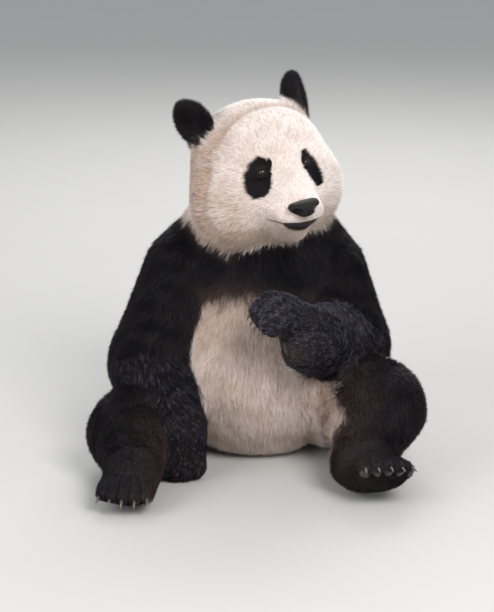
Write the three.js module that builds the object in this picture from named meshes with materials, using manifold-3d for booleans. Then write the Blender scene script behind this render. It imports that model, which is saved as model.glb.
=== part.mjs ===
// A giant panda sitting upright on its rump: life size, still, in millimetres, +Z up, facing -Y.
// Its right arm hangs down to the ground between its legs, and its left hand is closed in front of its chest.
// Every outer surface is where the tips of the coat are.
import * as THREE from "three";
import { mergeVertices } from "three/addons/utils/BufferGeometryUtils.js";
import Module from "manifold-3d";

const wasm = await Module();
wasm.setup();

// ---- Driving dimensions ----

const GAP = 0.3; // clearance between neighbouring pieces
const LEFT = 1; // the animal's left is +X
const RIGHT = -1;

const HEAD = { centre: [9, -62, 620], yaw: 25.5, pitch: -2, roll: -9 };
const EYE = { radius: 12, front: 119 };
const EYE_AT = { left: [45, 20], right: [-51, 23] }; // to the side and up
const EAR = { side: 116, back: 30, height: 122, radius: 53, tall: 1.06, thick: 23 };
const EAR_LEAN = { left: -8, right: 14 };
const EAR_TURN = { left: 56, right: 73 };
const NOSE = { width: 35, deep: 18, high: 13.5, side: -3, front: 193, height: -50.5 };
const NECK = { foot: [10, 26, 440], top: [4, -30, 590], footRadius: 152, topRadius: 136, base: 462 };
const TAIL = { root: [4, 186, 122], tip: [7, 212, 58], rootRadius: 44, tipRadius: 36 };

// Joint centres of each limb from the body outwards, and the radius of the coat round each of them.
const LIMBS = {
  arm_left: {
    joints: [[138, 14, 388], [200, -66, 226], [112, -244, 300]],
    radii: [104, 92, 74],
  },
  arm_right: {
    joints: [[-135, 14, 396], [-226, -108, 206], [-160, -236, 112]],
    radii: [104, 92, 64],
  },
  leg_left: {
    joints: [[138, 0, 124], [262, -230, 154], [206, -338, 68]],
    radii: [134, 96, 64],
  },
  leg_right: {
    joints: [[-134, 0, 120], [-262, -226, 94], [-248, -352, 62]],
    radii: [130, 92, 62],
  },
};

// Each paw: where its wrist or ankle is, its yaw, pitch and roll, how far its toes curl, and its size.
const PAWS = {
  hand_left: {
    limb: "arm_left",
    side: LEFT,
    at: [94, -262, 358],
    turn: [-58, -16, 20],
    curl: 70,
    size: 1.08,
  },
  hand_right: {
    limb: "arm_right",
    side: RIGHT,
    at: [-158, -246, 96],
    turn: [6, 72, 4],
    curl: 75,
    size: 1.05,
  },
  foot_left: {
    limb: "leg_left",
    side: LEFT,
    at: [234, -350, 38],
    turn: [16, -32, 4],
    curl: 12,
    size: 1.14,
  },
  foot_right: {
    limb: "leg_right",
    side: RIGHT,
    at: [-248, -362, 46],
    turn: [-8, -2, 0],
    curl: 12,
    size: 1.14,
  },
};
const PALM = { length: 74, width: 52, thick: 33 };
const TOE = { count: 5, spacing: 20, radius: 15, length: 32 };
const CLAW = { radius: 4.6, length: 26, bend: 30, sink: 7 };

const COLOURS = {
  cream: 0xd9c7b4,
  black: 0x1c191b,
  eye: 0x120c08,
  nose: 0x161314,
  claw: 0x3a3330,
};

// ---- Fields: functions of a point, negative inside, zero on the surface, in millimetres ----

const vec = (p) => new THREE.Vector3(...p);
const rad = THREE.MathUtils.degToRad;
const mirror = (side, [x, y, z]) => [side * x, y, z];

// An ellipsoid, turned about X, Y and Z in degrees.
function lump(centre, radii, turn = [0, 0, 0]) {
  const middle = vec(centre);
  const unturn = new THREE.Quaternion()
    .setFromEuler(new THREE.Euler(...turn.map(rad)))
    .invert();
  const size = vec(radii);
  return (p) => {
    const q = p.clone().sub(middle).applyQuaternion(unturn).divide(size);
    const near = q.length();
    const steep = q.divide(size).length();
    return steep > 0 ? (near * (near - 1)) / steep : -Math.min(...radii);
  };
}

// A tapered rod with round ends.
function rod(start, end, startRadius, endRadius = startRadius) {
  const line = new THREE.Line3(vec(start), vec(end));
  const foot = new THREE.Vector3();
  return (p) => {
    const t = line.closestPointToPointParameter(p, true);
    return line.at(t, foot).distanceTo(p) - THREE.MathUtils.lerp(startRadius, endRadius, t);
  };
}

// Fields joined with soft valleys between them.
function joined(softness, ...fields) {
  return (p) =>
    fields.map((f) => f(p)).reduce((a, b) => {
      const mix = Math.max(softness - Math.abs(a - b), 0) / softness;
      return Math.min(a, b) - (mix * mix * softness) / 4;
    });
}

// A field that is known in one frame, read in another.
function seen(field, matrix) {
  return (p) => field(p.clone().applyMatrix4(matrix));
}

// ---- Geometry ----

const REACH = 340; // no surface is further than this from its core line
const OVERRUN = 55; // how far a length of limb is drawn past the plane that it is then cut at
const STEP = 5;
const BISECTIONS = 12;

// The distance from `core` along `ray` at which the field is first left.
function surfaceDistance(field, core, ray) {
  const at = (s) => field(core.clone().addScaledVector(ray, s));
  let outer = STEP;
  while (outer < REACH && at(outer) < 0) outer += STEP;
  let inner = outer - STEP;
  for (let i = 0; i < BISECTIONS; i++) {
    const middle = (inner + outer) / 2;
    if (at(middle) > 0) outer = middle;
    else inner = middle;
  }
  return inner;
}

function bare(geometry) {
  geometry.deleteAttribute("normal");
  geometry.deleteAttribute("uv");
  return mergeVertices(geometry);
}

// Moves every vertex straight out from the core line until it lies `swell` outside the field's surface.
function wrapped({ geometry, core }, field, swell) {
  const skin = bare(geometry.clone());
  const places = skin.getAttribute("position");
  const p = new THREE.Vector3();
  const foot = new THREE.Vector3();
  for (let i = 0; i < places.count; i++) {
    core.closestPointToPoint(p.fromBufferAttribute(places, i), true, foot);
    const ray = p.sub(foot).normalize();
    const reach = surfaceDistance(field, foot, ray) + swell;
    places.setXYZ(i, ...foot.addScaledVector(ray, reach));
  }
  return skin;
}

// A capsule of quads round the line from `start` to `end`, ready to be wrapped.
function sleeve(start, end, around, along, cap) {
  const core = new THREE.Line3(vec(start), vec(end));
  const run = core.delta(new THREE.Vector3());
  const geometry = new THREE.CapsuleGeometry(1, run.length(), cap, around, along);
  const upright = THREE.Object3D.DEFAULT_UP;
  geometry.applyQuaternion(new THREE.Quaternion().setFromUnitVectors(upright, run.clone().normalize()));
  geometry.translate(...core.getCenter(new THREE.Vector3()));
  return { geometry, core };
}

// A ball with its pole at -Y, and its rings drawn in towards that pole by `crowding`.
function ball(centre, around, rings, crowding = 1) {
  const geometry = new THREE.SphereGeometry(1, around, rings);
  const places = geometry.getAttribute("position");
  const direction = new THREE.Vector3();
  const polar = new THREE.Spherical();
  for (let i = 0; i < places.count; i++) {
    polar.setFromVector3(direction.fromBufferAttribute(places, i));
    polar.phi = Math.PI * Math.pow(polar.phi / Math.PI, crowding);
    places.setXYZ(i, ...direction.setFromSpherical(polar));
  }
  geometry.rotateX(-Math.PI / 2).rotateY(Math.PI).translate(...centre);
  return { geometry, core: new THREE.Line3(vec(centre), vec(centre)) };
}

// ---- Solids ----

function solidOf(geometry, frame) {
  frame.updateWorldMatrix(true, false);
  const placed = geometry.clone().applyMatrix4(frame.matrixWorld);
  const vertProperties = placed.getAttribute("position").array;
  const triVerts = new Uint32Array(placed.index.array);
  return new wasm.Manifold(new wasm.Mesh({ numProp: 3, vertProperties, triVerts }));
}

function geometryOf(solid, frame) {
  const mesh = solid.getMesh();
  return new THREE.BufferGeometry()
    .setAttribute("position", new THREE.BufferAttribute(mesh.vertProperties, 3))
    .setIndex(new THREE.BufferAttribute(mesh.triVerts, 1))
    .applyMatrix4(frame.matrixWorld.clone().invert());
}

// A part keeps its frame and its solid. `grown` is the same solid with the gap round it, to cut neighbours with.
function part(frame, start, field) {
  return {
    frame,
    solid: solidOf(wrapped(start, field, 0), frame),
    grown: solidOf(wrapped(start, field, GAP), frame),
  };
}

// The plane that halves the bend at a joint, as its normal and its distance from the origin.
function bendPlane(before, joint, after) {
  const coming = vec(joint).sub(vec(before)).normalize();
  const going = vec(after).sub(vec(joint)).normalize();
  const normal = coming.add(going).normalize();
  return { normal, distance: normal.dot(vec(joint)) };
}

// Keeps what lies before or after a plane, half a gap away from it.
function keepBefore(body, { normal, distance }) {
  const back = normal.clone().negate();
  return { ...body, solid: body.solid.trimByPlane(back.toArray(), GAP / 2 - distance) };
}

function keepAfter(body, { normal, distance }) {
  return { ...body, solid: body.solid.trimByPlane(normal.toArray(), GAP / 2 + distance) };
}

// Cuts a part back from its neighbours and from the floor, and adds it to its frame as one named mesh.
function add(name, body, colour, neighbours = [], roughness = 0.85) {
  const cut = [...neighbours, floor].reduce((solid, { grown }) => solid.subtract(grown), body.solid);
  const largest = cut.decompose().sort((a, b) => b.volume() - a.volume())[0];
  const material = new THREE.MeshStandardMaterial({ color: COLOURS[colour], roughness, metalness: 0 });
  const mesh = new THREE.Mesh(geometryOf(largest, body.frame), material);
  mesh.name = name;
  body.frame.add(mesh);
}

// ---- The animal ----

const panda = new THREE.Group();

const floor = { grown: solidOf(bare(new THREE.BoxGeometry(2400, 2400, 400)).translate(0, 0, -200), panda) };

// A frame at `at`, turned by its yaw, pitch and roll.
function frameAt(at, [yaw, pitch, roll], size = 1) {
  const frame = new THREE.Group();
  frame.scale.setScalar(size);
  frame.position.set(...at);
  frame.rotation.set(rad(pitch), rad(roll), rad(yaw), "ZXY");
  panda.add(frame);
  frame.updateWorldMatrix(true, false);
  return frame;
}

// In the head's own frame the muzzle points to -Y.
function head(frame) {
  const both = (centre, radii, turn = [0, 0, 0]) =>
    [LEFT, RIGHT].map((s) => lump(mirror(s, centre), radii, [turn[0], s * turn[1], s * turn[2]]));
  const skull = joined(
    44,
    lump([0, 18, 34], [138, 126, 109]),
    lump([0, -32, 18], [112, 97, 112]),
    ...both([74, -12, -56], [101, 100, 98]),
    lump([0, 20, -44], [120, 106, 98]),
  );
  const muzzle = joined(
    20,
    rod([0, -84, -34], [0, -150, -57], 62, 41),
    ...both([30, -155, -69], [33, 31, 28]),
    rod([0, -70, -88], [0, -114, -106], 58, 38),
  );
  const field = joined(36, skull, muzzle);
  return part(frame, ball([0, -20, -16], 30, 22, 1.35), field);
}

function eye(frame, [across, up]) {
  const centre = [across, -EYE.front, up];
  return part(frame, ball(centre, 10, 7), lump(centre, [EYE.radius, EYE.radius, EYE.radius]));
}

function nose(frame) {
  const field = joined(
    8,
    lump([NOSE.side, -NOSE.front, NOSE.height + 3], [NOSE.width, NOSE.deep, NOSE.high * 0.72]),
    lump([NOSE.side, -NOSE.front + 2, NOSE.height - 6], [NOSE.width * 0.55, NOSE.deep * 0.8, NOSE.high]),
  );
  return part(frame, ball([NOSE.side, -NOSE.front, NOSE.height], 12, 8), field);
}

// A round cup of an ear, hollow towards the front, turned outwards and leaning out.
function ear(headGroup, side, lean, turn) {
  const { radius, tall, thick } = EAR;
  const cup = new THREE.SplineCurve(
    [
      [0, thick],
      [radius * 0.55, thick * 0.84],
      [radius * 0.92, thick * 0.2],
      [radius, -thick * 0.35],
      [radius * 0.84, -thick * 0.8],
      [radius * 0.45, -thick * 0.45],
      [0, -thick * 0.25],
    ].map((p) => new THREE.Vector2(...p)),
  );
  const outline = cup.getPoints(9);
  outline[0].x = 0;
  outline.at(-1).x = 0;
  const shell = bare(new THREE.LatheGeometry(outline.reverse(), 14)).scale(1, 1, tall);
  const frame = new THREE.Group();
  frame.position.set(...mirror(side, [EAR.side, EAR.back, EAR.height]));
  frame.rotation.set(0, side * rad(lean), side * rad(turn), "YZX");
  headGroup.add(frame);
  const solid = solidOf(shell, frame);
  return { frame, solid, grown: solid };
}

// The neck and the trunk share one surface, and are parted at the neck's base.

function trunkField() {
  return joined(
    70,
    lump([4, 26, 160], [246, 206, 186]),
    lump([8, 30, 290], [212, 178, 170]),
    lump([10, 34, 380], [188, 152, 130]),
    lump([4, -56, 168], [190, 160, 146]),
    lump([-96, 66, 392], [84, 86, 104]),
    lump([110, 66, 388], [84, 86, 104]),
    rod(NECK.foot, NECK.top, NECK.footRadius, NECK.topRadius),
  );
}

function tail() {
  const field = rod(TAIL.root, TAIL.tip, TAIL.rootRadius, TAIL.tipRadius);
  return part(panda, sleeve(TAIL.root, TAIL.tip, 10, 2, 3), field);
}

// The toes of a paw, each with its knuckle, its tip and the way it points, in the paw's own frame.
function toesOf({ side, curl }) {
  const bend = rad(curl);
  return Array.from({ length: TOE.count }, (_, i) => {
    const offset = i - (TOE.count - 1) / 2;
    const knuckle = vec([side * offset * TOE.spacing * 0.86, 4 * Math.abs(offset) - PALM.length, 0]);
    const along = vec([side * offset * 0.1, -Math.cos(bend), -Math.sin(bend)]).normalize();
    return { knuckle, along, tip: knuckle.clone().addScaledVector(along, TOE.length) };
  });
}

// A paw in its own frame: the wrist is at the origin, the toes point to -Y and the pads face -Z.
function pawField(toes) {
  return joined(
    14,
    lump([0, -PALM.length * 0.5, 0], [PALM.width, PALM.length * 0.66, PALM.thick]),
    lump([0, -PALM.length * 0.8, -PALM.thick * 0.4], [PALM.width * 0.86, 26, 24]),
    ...toes.map(({ knuckle, tip }) => rod(knuckle.toArray(), tip.toArray(), TOE.radius + 4, TOE.radius)),
  );
}

// A bent cone that leaves its toe along the last bone and curves down.
function claw(frame, { tip, along }) {
  const shape = new THREE.ConeGeometry(CLAW.radius, CLAW.length, 5, 2);
  shape.translate(0, CLAW.length / 2, 0);
  const places = shape.getAttribute("position");
  for (let i = 0; i < places.count; i++) {
    const y = places.getY(i);
    const turn = rad(CLAW.bend) * (y / CLAW.length);
    places.setXYZ(i, places.getX(i), y * Math.cos(turn), places.getZ(i) + y * Math.sin(turn));
  }
  const across = new THREE.Vector3(1, 0, 0);
  const down = new THREE.Vector3().crossVectors(across, along).normalize();
  const pose = new THREE.Matrix4().makeBasis(along.clone().cross(down), along, down);
  pose.setPosition(tip.clone().addScaledVector(along, TOE.radius - CLAW.sink));
  const solid = solidOf(bare(shape).applyMatrix4(pose), frame);
  return { frame, solid, grown: solid };
}

// One limb: its two lengths and its paw share one surface, and are parted at the bends.
function limb({ joints, radii }, pawKind) {
  const frame = frameAt(pawKind.at, pawKind.turn, pawKind.size);
  const toes = toesOf(pawKind);
  const field = joined(
    24,
    rod(joints[0], joints[1], radii[0], radii[1]),
    rod(joints[1], joints[2], radii[1], radii[2]),
    seen(pawField(toes), frame.matrixWorld.clone().invert()),
  );
  const palm = frame.localToWorld(vec([0, -PALM.length * 0.6, 0])).toArray();
  const middleBend = bendPlane(joints[0], joints[1], joints[2]);
  const endBend = bendPlane(joints[1], joints[2], palm);
  const near = (plane, way) => (p) => way * (plane.normal.dot(p) - plane.distance) - OVERRUN;
  const within = (...bounds) => (p) => Math.max(field(p), ...bounds.map((bound) => bound(p)));
  const length = (from, ...bounds) =>
    part(panda, sleeve(joints[from], joints[from + 1], 12, 3, 2), within(...bounds));
  const upper = length(0, near(middleBend, 1));
  const lower = length(1, near(middleBend, -1), near(endBend, 1));
  const pawStart = ball([0, -PALM.length * 0.7, -4], 18, 12, 1.05);
  const paw = part(frame, pawStart, seen(within(near(endBend, -1)), frame.matrixWorld));
  return {
    upper: keepBefore(upper, middleBend),
    lower: keepBefore(keepAfter(lower, middleBend), endBend),
    paw: keepAfter(paw, endBend),
    claws: toes.map((toe) => claw(frame, toe)),
  };
}

const skull = frameAt(HEAD.centre, [HEAD.yaw, HEAD.pitch, HEAD.roll]);
const headPart = head(skull);
const nosePart = nose(skull);
const tailPart = tail();
const torso = trunkField();
const neckBase = { normal: new THREE.Vector3(0, 0, 1), distance: NECK.base };
const neckPart = keepAfter(part(panda, sleeve(NECK.foot, NECK.top, 20, 3, 2), torso), neckBase);
const trunkPart = keepBefore(part(panda, sleeve([6, 26, 150], [10, 32, 380], 24, 5, 5), torso), neckBase);
const limbs = Object.fromEntries(
  Object.values(PAWS).map((kind) => [kind.limb, limb(LIMBS[kind.limb], kind)]),
);
const lengths = ({ upper, lower, paw }) => [upper, lower, paw];

add("nose", nosePart, "nose", [], 0.4);
const eyes = [];
for (const [name, side] of [["left", LEFT], ["right", RIGHT]]) {
  const eyePart = eye(skull, EYE_AT[name]);
  eyes.push(eyePart);
  add("eye_" + name, eyePart, "eye", [], 0.1);
  add("ear_" + name, ear(skull, side, EAR_LEAN[name], EAR_TURN[name]), "black", [headPart]);

  const arm = limbs["arm_" + name];
  const leg = limbs["leg_" + name];
  const own = [
    ["upper_arm_", arm.upper, [headPart]],
    ["forearm_", arm.lower, [headPart]],
    ["hand_", arm.paw, []],
    ["thigh_", leg.upper, lengths(arm)],
    ["shank_", leg.lower, lengths(arm)],
    ["foot_", leg.paw, []],
  ];
  for (const [kind, body, neighbours] of own) add(kind + name, body, "black", neighbours);
  for (const [kind, { claws, paw }] of [["hand_", arm], ["foot_", leg]]) {
    const neighbours = [paw, leg.upper, leg.lower];
    claws.forEach((each, i) => add(`claw_${kind}${name}_${i + 1}`, each, "claw", neighbours, 0.4));
  }
}
const allLimbs = Object.values(limbs).flatMap(lengths);
const arms = [limbs.arm_left, limbs.arm_right].flatMap(lengths);
add("head", headPart, "cream", [nosePart, ...eyes]);
add("neck", neckPart, "cream", [headPart, ...arms]);
add("tail", tailPart, "cream");
add("trunk", trunkPart, "cream", [headPart, tailPart, ...allLimbs]);

// The exported frame has its origin under the middle of the animal, on the floor.
const box = new THREE.Box3().setFromObject(panda, true);
const middle = box.getCenter(new THREE.Vector3());
const root = new THREE.Group();
panda.position.set(-middle.x, -middle.y, -box.min.z);
root.add(panda);

export default root;
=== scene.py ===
"""A giant panda's skin, coat, eyes, nose and claws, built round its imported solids, with a plain stage."""
import math
from collections import namedtuple

import bmesh
import bpy
import numpy as np
from mathutils import Matrix, Vector
from mathutils.bvhtree import BVHTree
from mathutils.kdtree import KDTree


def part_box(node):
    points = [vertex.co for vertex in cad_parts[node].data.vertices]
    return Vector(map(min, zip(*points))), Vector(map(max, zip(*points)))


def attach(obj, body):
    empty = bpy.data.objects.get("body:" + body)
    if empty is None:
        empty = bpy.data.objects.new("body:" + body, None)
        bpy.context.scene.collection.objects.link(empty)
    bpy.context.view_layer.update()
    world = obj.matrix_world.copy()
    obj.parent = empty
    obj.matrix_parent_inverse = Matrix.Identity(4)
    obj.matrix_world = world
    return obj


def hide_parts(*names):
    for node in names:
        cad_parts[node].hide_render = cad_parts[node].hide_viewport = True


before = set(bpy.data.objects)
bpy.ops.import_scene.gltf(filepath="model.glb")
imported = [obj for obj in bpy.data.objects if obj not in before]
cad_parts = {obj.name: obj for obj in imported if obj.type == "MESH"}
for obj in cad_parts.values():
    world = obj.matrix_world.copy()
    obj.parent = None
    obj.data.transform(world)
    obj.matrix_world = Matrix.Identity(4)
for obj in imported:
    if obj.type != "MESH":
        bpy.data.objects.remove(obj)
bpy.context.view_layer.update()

bl_info = {
    "name": "Giant Panda",
    "version": (1, 0, 0),
    "blender": (4, 5, 0),
    "location": "3D View > Sidebar > Panda",
    "description": "Builds the skin, coat, eyes, nose and claws of a sitting giant panda round its solids",
    "category": "Object",
}

MM = 0.001
SIDES = ("left", "right")
ARM = ("upper_arm", "forearm", "hand")
LEG = ("thigh", "shank", "foot")
TOES = range(1, 6)
PAWS = [f"{paw}_{side}" for paw in ("hand", "foot") for side in SIDES]
FLESH = ["head", "neck", "trunk", "tail"]
FLESH += [f"{part}_{side}" for part in ("ear", *ARM, *LEG) for side in SIDES]
ORGANS = ["eye_left", "eye_right", "nose"]
PARTS = FLESH + ORGANS

# For each part: how strongly its skin is smoothed, the coat's depth and the length of its tufts, in mm.
PELT = {
    "head": (0.25, 7.0, 13.0),
    "ear": (0.2, 5.0, 16.0),
    "neck": (1.0, 12.0, 33.0),
    "trunk": (1.0, 12.0, 34.0),
    "tail": (1.0, 10.0, 28.0),
    "upper_arm": (0.9, 10.5, 29.0),
    "forearm": (0.7, 9.0, 25.0),
    "hand": (0.12, 4.5, 10.0),
    "thigh": (0.9, 10.5, 29.0),
    "shank": (0.7, 9.0, 25.0),
    "foot": (0.12, 4.5, 10.0),
    "eye": (0.0, 3.0, 4.0),
    "nose": (0.0, 3.0, 4.0),
}


def kind(part):
    """The part's name without its side."""
    return part.replace("_left", "").replace("_right", "")


def on_side(kinds, side):
    """The names of the parts of these kinds on one side."""
    return [f"{part}_{side}" for part in kinds]


def claws_of(paw):
    """The names of a paw's claws, from the first toe to the last."""
    return [f"claw_{paw}_{toe}" for toe in TOES]


# ---------------------------------------------------------------- numbers and fields


def ease(low, high, value):
    """0 at low, 1 at high, with a smooth rise between."""
    share = np.clip((value - low) / (high - low), 0.0, 1.0)
    return share * share * (3.0 - 2.0 * share)


def blend(first, second, share):
    """first where share is 0, second where it is 1."""
    return first + (second - first) * share


def hump(value, width):
    """1 where value is 0, falling away over width."""
    return np.exp(-((value / width) ** 2))


def unit(vectors):
    """Each vector at length 1."""
    length = np.linalg.norm(vectors, axis=-1, keepdims=True)
    return vectors / np.maximum(length, 1e-9)


def flattened(vectors, normals):
    """Each vector laid in the plane across its normal, at length 1."""
    return unit(vectors - normals * (vectors * normals).sum(-1, keepdims=True))


def ripple(points, wavelength, seed):
    """A soft random field between about -1 and 1, whose swells are a wavelength apart."""
    random = np.random.default_rng(seed)
    total = np.zeros(len(points))
    for _ in range(5):
        direction = unit(random.normal(size=3))
        turn = random.uniform(0.0, 2.0 * math.pi)
        stretch = random.uniform(0.7, 1.6)
        total += np.sin(points @ direction * (2.0 * math.pi * stretch / wavelength) + turn)
    return total / 2.5


def centre_of(node):
    """The middle of a node's box."""
    low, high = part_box(node)
    return np.array((low + high) / 2)


def triad(left, right, ahead):
    """Three square axes, as columns, from two places side by side and one ahead of them."""
    across = unit(left - right)
    normal = unit(np.cross(across, ahead - (left + right) / 2))
    return np.stack([across, normal, np.cross(across, normal)], 1)


class HeadFrame:
    """The head's own axes: x to its left, y to its back, z to its crown, from its eyes and nose."""

    EYE_LEFT = np.array([45.0, -119.0, 20.0]) * MM
    EYE_RIGHT = np.array([-51.0, -119.0, 23.0]) * MM
    NOSE = np.array([-3.4, -192.9, -53.3]) * MM

    def __init__(self):
        own = triad(self.EYE_LEFT, self.EYE_RIGHT, self.NOSE)
        places = [centre_of(name) for name in ORGANS]
        self.axes = triad(*places) @ own.T
        self.origin = (places[0] + places[1]) / 2 - self.axes @ ((self.EYE_LEFT + self.EYE_RIGHT) / 2)

    def inside(self, points):
        """Points in the head's own axes."""
        return (points - self.origin) @ self.axes

    def outside(self, points):
        """Points of the head's own axes, back in the model's."""
        return points @ self.axes.T + self.origin

    def turned(self, vectors):
        """Directions of the head's own axes, in the model's."""
        return np.asarray(vectors) @ self.axes.T


HEAD = HeadFrame()


# ---------------------------------------------------------------- meshes


class Net:
    """Which vertices of a mesh are joined by edges, to spread values over its surface."""

    def __init__(self, mesh):
        pairs = np.empty(len(mesh.edges) * 2, np.int32)
        mesh.edges.foreach_get("vertices", pairs)
        pairs = pairs.reshape(-1, 2)
        both = np.vstack([pairs, pairs[:, ::-1]])
        order = np.argsort(both[:, 0], kind="stable")
        self.near = both[order, 1]
        self.count = np.bincount(both[:, 0], minlength=len(mesh.vertices))
        self.start = np.concatenate([[0], np.cumsum(self.count)[:-1]])

    def average(self, values):
        """Each vertex's mean over its neighbours."""
        total = np.add.reduceat(values[self.near], self.start, axis=0)
        return total / (self.count if values.ndim == 1 else self.count[:, None])

    def spread(self, values, rounds, share=0.5):
        """Values evened out over the surface, by so many rounds."""
        if values.ndim > 1 and np.ndim(share):
            share = share[:, None]
        for _ in range(rounds):
            values = values + share * (self.average(values) - values)
        return values


def vertex_array(mesh, field="co"):
    """The places, or the normals, of a mesh's vertices."""
    values = np.empty(len(mesh.vertices) * 3, np.float32)
    mesh.vertices.foreach_get(field, values)
    return values.reshape(-1, 3).astype(float)


def move_vertices(mesh, points):
    """Puts a mesh's vertices at new places."""
    mesh.vertices.foreach_set("co", points.astype(np.float32).ravel())
    mesh.update()


def store(mesh, name, values):
    """Keeps one number, or one vector, for each vertex."""
    vector = values.ndim > 1
    layer = mesh.attributes.new(name, "FLOAT_VECTOR" if vector else "FLOAT", "POINT")
    layer.data.foreach_set("vector" if vector else "value", values.astype(np.float32).ravel())


def stored(mesh, name):
    """The numbers or vectors kept under a name."""
    layer = mesh.attributes[name]
    vector = layer.data_type == "FLOAT_VECTOR"
    values = np.empty(len(mesh.vertices) * (3 if vector else 1), np.float32)
    layer.data.foreach_get("vector" if vector else "value", values)
    return values.reshape(-1, 3).astype(float) if vector else values.astype(float)


def add_piece(name, mesh, material, nodes=()):
    """Shows a mesh as a piece of the animal, in place of the named nodes."""
    piece = bpy.data.objects.new(name, mesh)
    bpy.context.scene.collection.objects.link(piece)
    mesh.materials.clear()
    mesh.materials.append(material)
    mesh.shade_smooth()
    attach(piece, "root")
    if nodes:
        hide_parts(*nodes)
    return piece


def merged_copy(node):
    """A copy of a node's mesh with its loose triangles joined."""
    copy = bmesh.new()
    copy.from_mesh(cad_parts[node].data)
    bmesh.ops.remove_doubles(copy, verts=copy.verts, dist=0.01 * MM)
    copy.normal_update()
    return copy


def piece_mesh(shape, name):
    """The mesh of a finished bmesh."""
    bmesh.ops.recalc_face_normals(shape, faces=shape.faces)
    mesh = bpy.data.meshes.new(name)
    shape.to_mesh(mesh)
    shape.free()
    return mesh


# ---------------------------------------------------------------- skin


def tree_of(nodes):
    """One search tree over the nodes' meshes, and for each of its faces the place of its node in the list."""
    points, faces, owners = [], [], []
    for place, node in enumerate(nodes):
        copy = merged_copy(node)
        first = len(points)
        points += [vertex.co.copy() for vertex in copy.verts]
        faces += [[first + vertex.index for vertex in face.verts] for face in copy.faces]
        owners += [place] * len(copy.faces)
        copy.free()
    return BVHTree.FromPolygons(points, faces), np.array(owners)


class PartFinder:
    """Tells which solid lies nearest a point."""

    def __init__(self):
        self.tree, self.owners = tree_of(PARTS)

    def parts_at(self, points):
        """The number, in PARTS, of the part nearest each point."""
        return self.owners[[self.tree.find_nearest(Vector(point))[2] for point in points]]


class Limbs:
    """How far points are from the body and from each limb, to find the folds between them."""

    GROUPS = [["neck", "trunk", "tail"]] + [on_side(limb, side) for side in SIDES for limb in (ARM, LEG)]
    BODY = 0
    ARMS = (1, 3)
    REACH = 60 * MM
    WIDTH = 12 * MM
    # Between these heights the fold between an arm and the body fades into the shoulder.
    SHOULDER_FOOT = 0.34
    SHOULDER_TOP = 0.42

    def __init__(self):
        self.trees = [tree_of(nodes)[0] for nodes in self.GROUPS]

    def folds(self, points):
        """1 in the folds, fading to 0 beside them and where an arm leaves the shoulder."""
        found = np.full((len(self.trees), len(points)), self.REACH)
        for row, tree in enumerate(self.trees):
            for column, point in enumerate(points):
                distance = tree.find_nearest(Vector(point), self.REACH)[3]
                if distance is not None:
                    found[row, column] = distance
        order = np.argsort(found, axis=0)
        nearest, following = (np.take_along_axis(found, order[row:row + 1], 0)[0] for row in (0, 1))
        first, second = np.sort(order[:2], axis=0)
        shoulder = (first == self.BODY) & np.isin(second, self.ARMS)
        closed = np.where(shoulder, ease(self.SHOULDER_TOP, self.SHOULDER_FOOT, points[:, 2]), 1.0)
        return hump(following - nearest, self.WIDTH) * closed * (following < self.REACH)


def fused_skin(voxel, grow):
    """All the flesh, eyes and nose as one closed mesh of even squares."""
    joined = bpy.data.meshes.new("flesh")
    whole = bmesh.new()
    for part in PARTS:
        copy = merged_copy(part)
        for vertex in copy.verts:
            vertex.co += vertex.normal * grow
        copy.to_mesh(joined)
        copy.free()
        whole.from_mesh(joined)
    whole.to_mesh(joined)
    whole.free()
    block = bpy.data.objects.new("flesh", joined)
    bpy.context.scene.collection.objects.link(block)
    remesh = block.modifiers.new("remesh", "REMESH")
    remesh.mode = "VOXEL"
    remesh.voxel_size = voxel
    graph = bpy.context.evaluated_depsgraph_get()
    skin = bpy.data.meshes.new_from_object(block.evaluated_get(graph))
    bpy.data.objects.remove(block)
    bpy.data.meshes.remove(joined)
    return skin


def by_part(parts, column):
    """The number that PELT's column gives each vertex's part."""
    table = np.array([PELT[kind(part)][column] for part in PARTS])
    return table[parts]


# The head's coat: a size at the back of the head, the size on the snout, and what the cheeks add.
HEAD_DEPTH = (7.0 * MM, 3.6 * MM, 5.0 * MM)
HEAD_LENGTH = (14.0 * MM, 6.5 * MM, 13.0 * MM)
# The greatest depth of the coat where the animal sits on it.
PRESSED_DEPTH = 7 * MM


def coat_sizes(points, parts):
    """The coat's depth and the length of its tufts at each vertex, in metres."""
    face = HEAD.inside(points)
    front = ease(-60 * MM, -165 * MM, face[:, 1])
    cheek = ease(75 * MM, 140 * MM, np.abs(face[:, 0])) * ease(20 * MM, -70 * MM, face[:, 2])
    sizes = []
    for column, (behind, ahead, more) in enumerate((HEAD_DEPTH, HEAD_LENGTH), 1):
        on_head = blend(behind, ahead, front) + more * cheek
        sizes.append(np.where(parts == PARTS.index("head"), on_head, by_part(parts, column) * MM))
    depth, length = sizes
    pressed = ease(45 * MM, 5 * MM, points[:, 2])
    return blend(depth, np.minimum(depth, PRESSED_DEPTH), pressed), length


def softened(mesh, parts, rounds):
    """The skin's vertices with the solids' flat facets evened out, at the same fullness."""
    net = Net(mesh)
    points = vertex_array(mesh)
    strength = net.spread(by_part(parts, 0), 12)
    smooth = net.spread(points, rounds, 0.5 * strength)
    move_vertices(mesh, smooth)
    normals = vertex_array(mesh, "normal")
    lost = net.spread(((points - smooth) * normals).sum(1), rounds)
    return smooth + normals * lost[:, None]


def refine(mesh, chosen):
    """Quarters the faces for which chosen says yes, given their middles."""
    shape = bmesh.new()
    shape.from_mesh(mesh)
    middles = np.array([face.calc_center_median() for face in shape.faces])
    edges = set()
    for face, wanted in zip(shape.faces, chosen(middles)):
        if wanted:
            edges.update(face.edges)
    bmesh.ops.subdivide_edges(shape, edges=list(edges), cuts=1, use_grid_fill=True)
    shape.to_mesh(mesh)
    shape.free()
    mesh.update()


# ---------------------------------------------------------------- face


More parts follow.
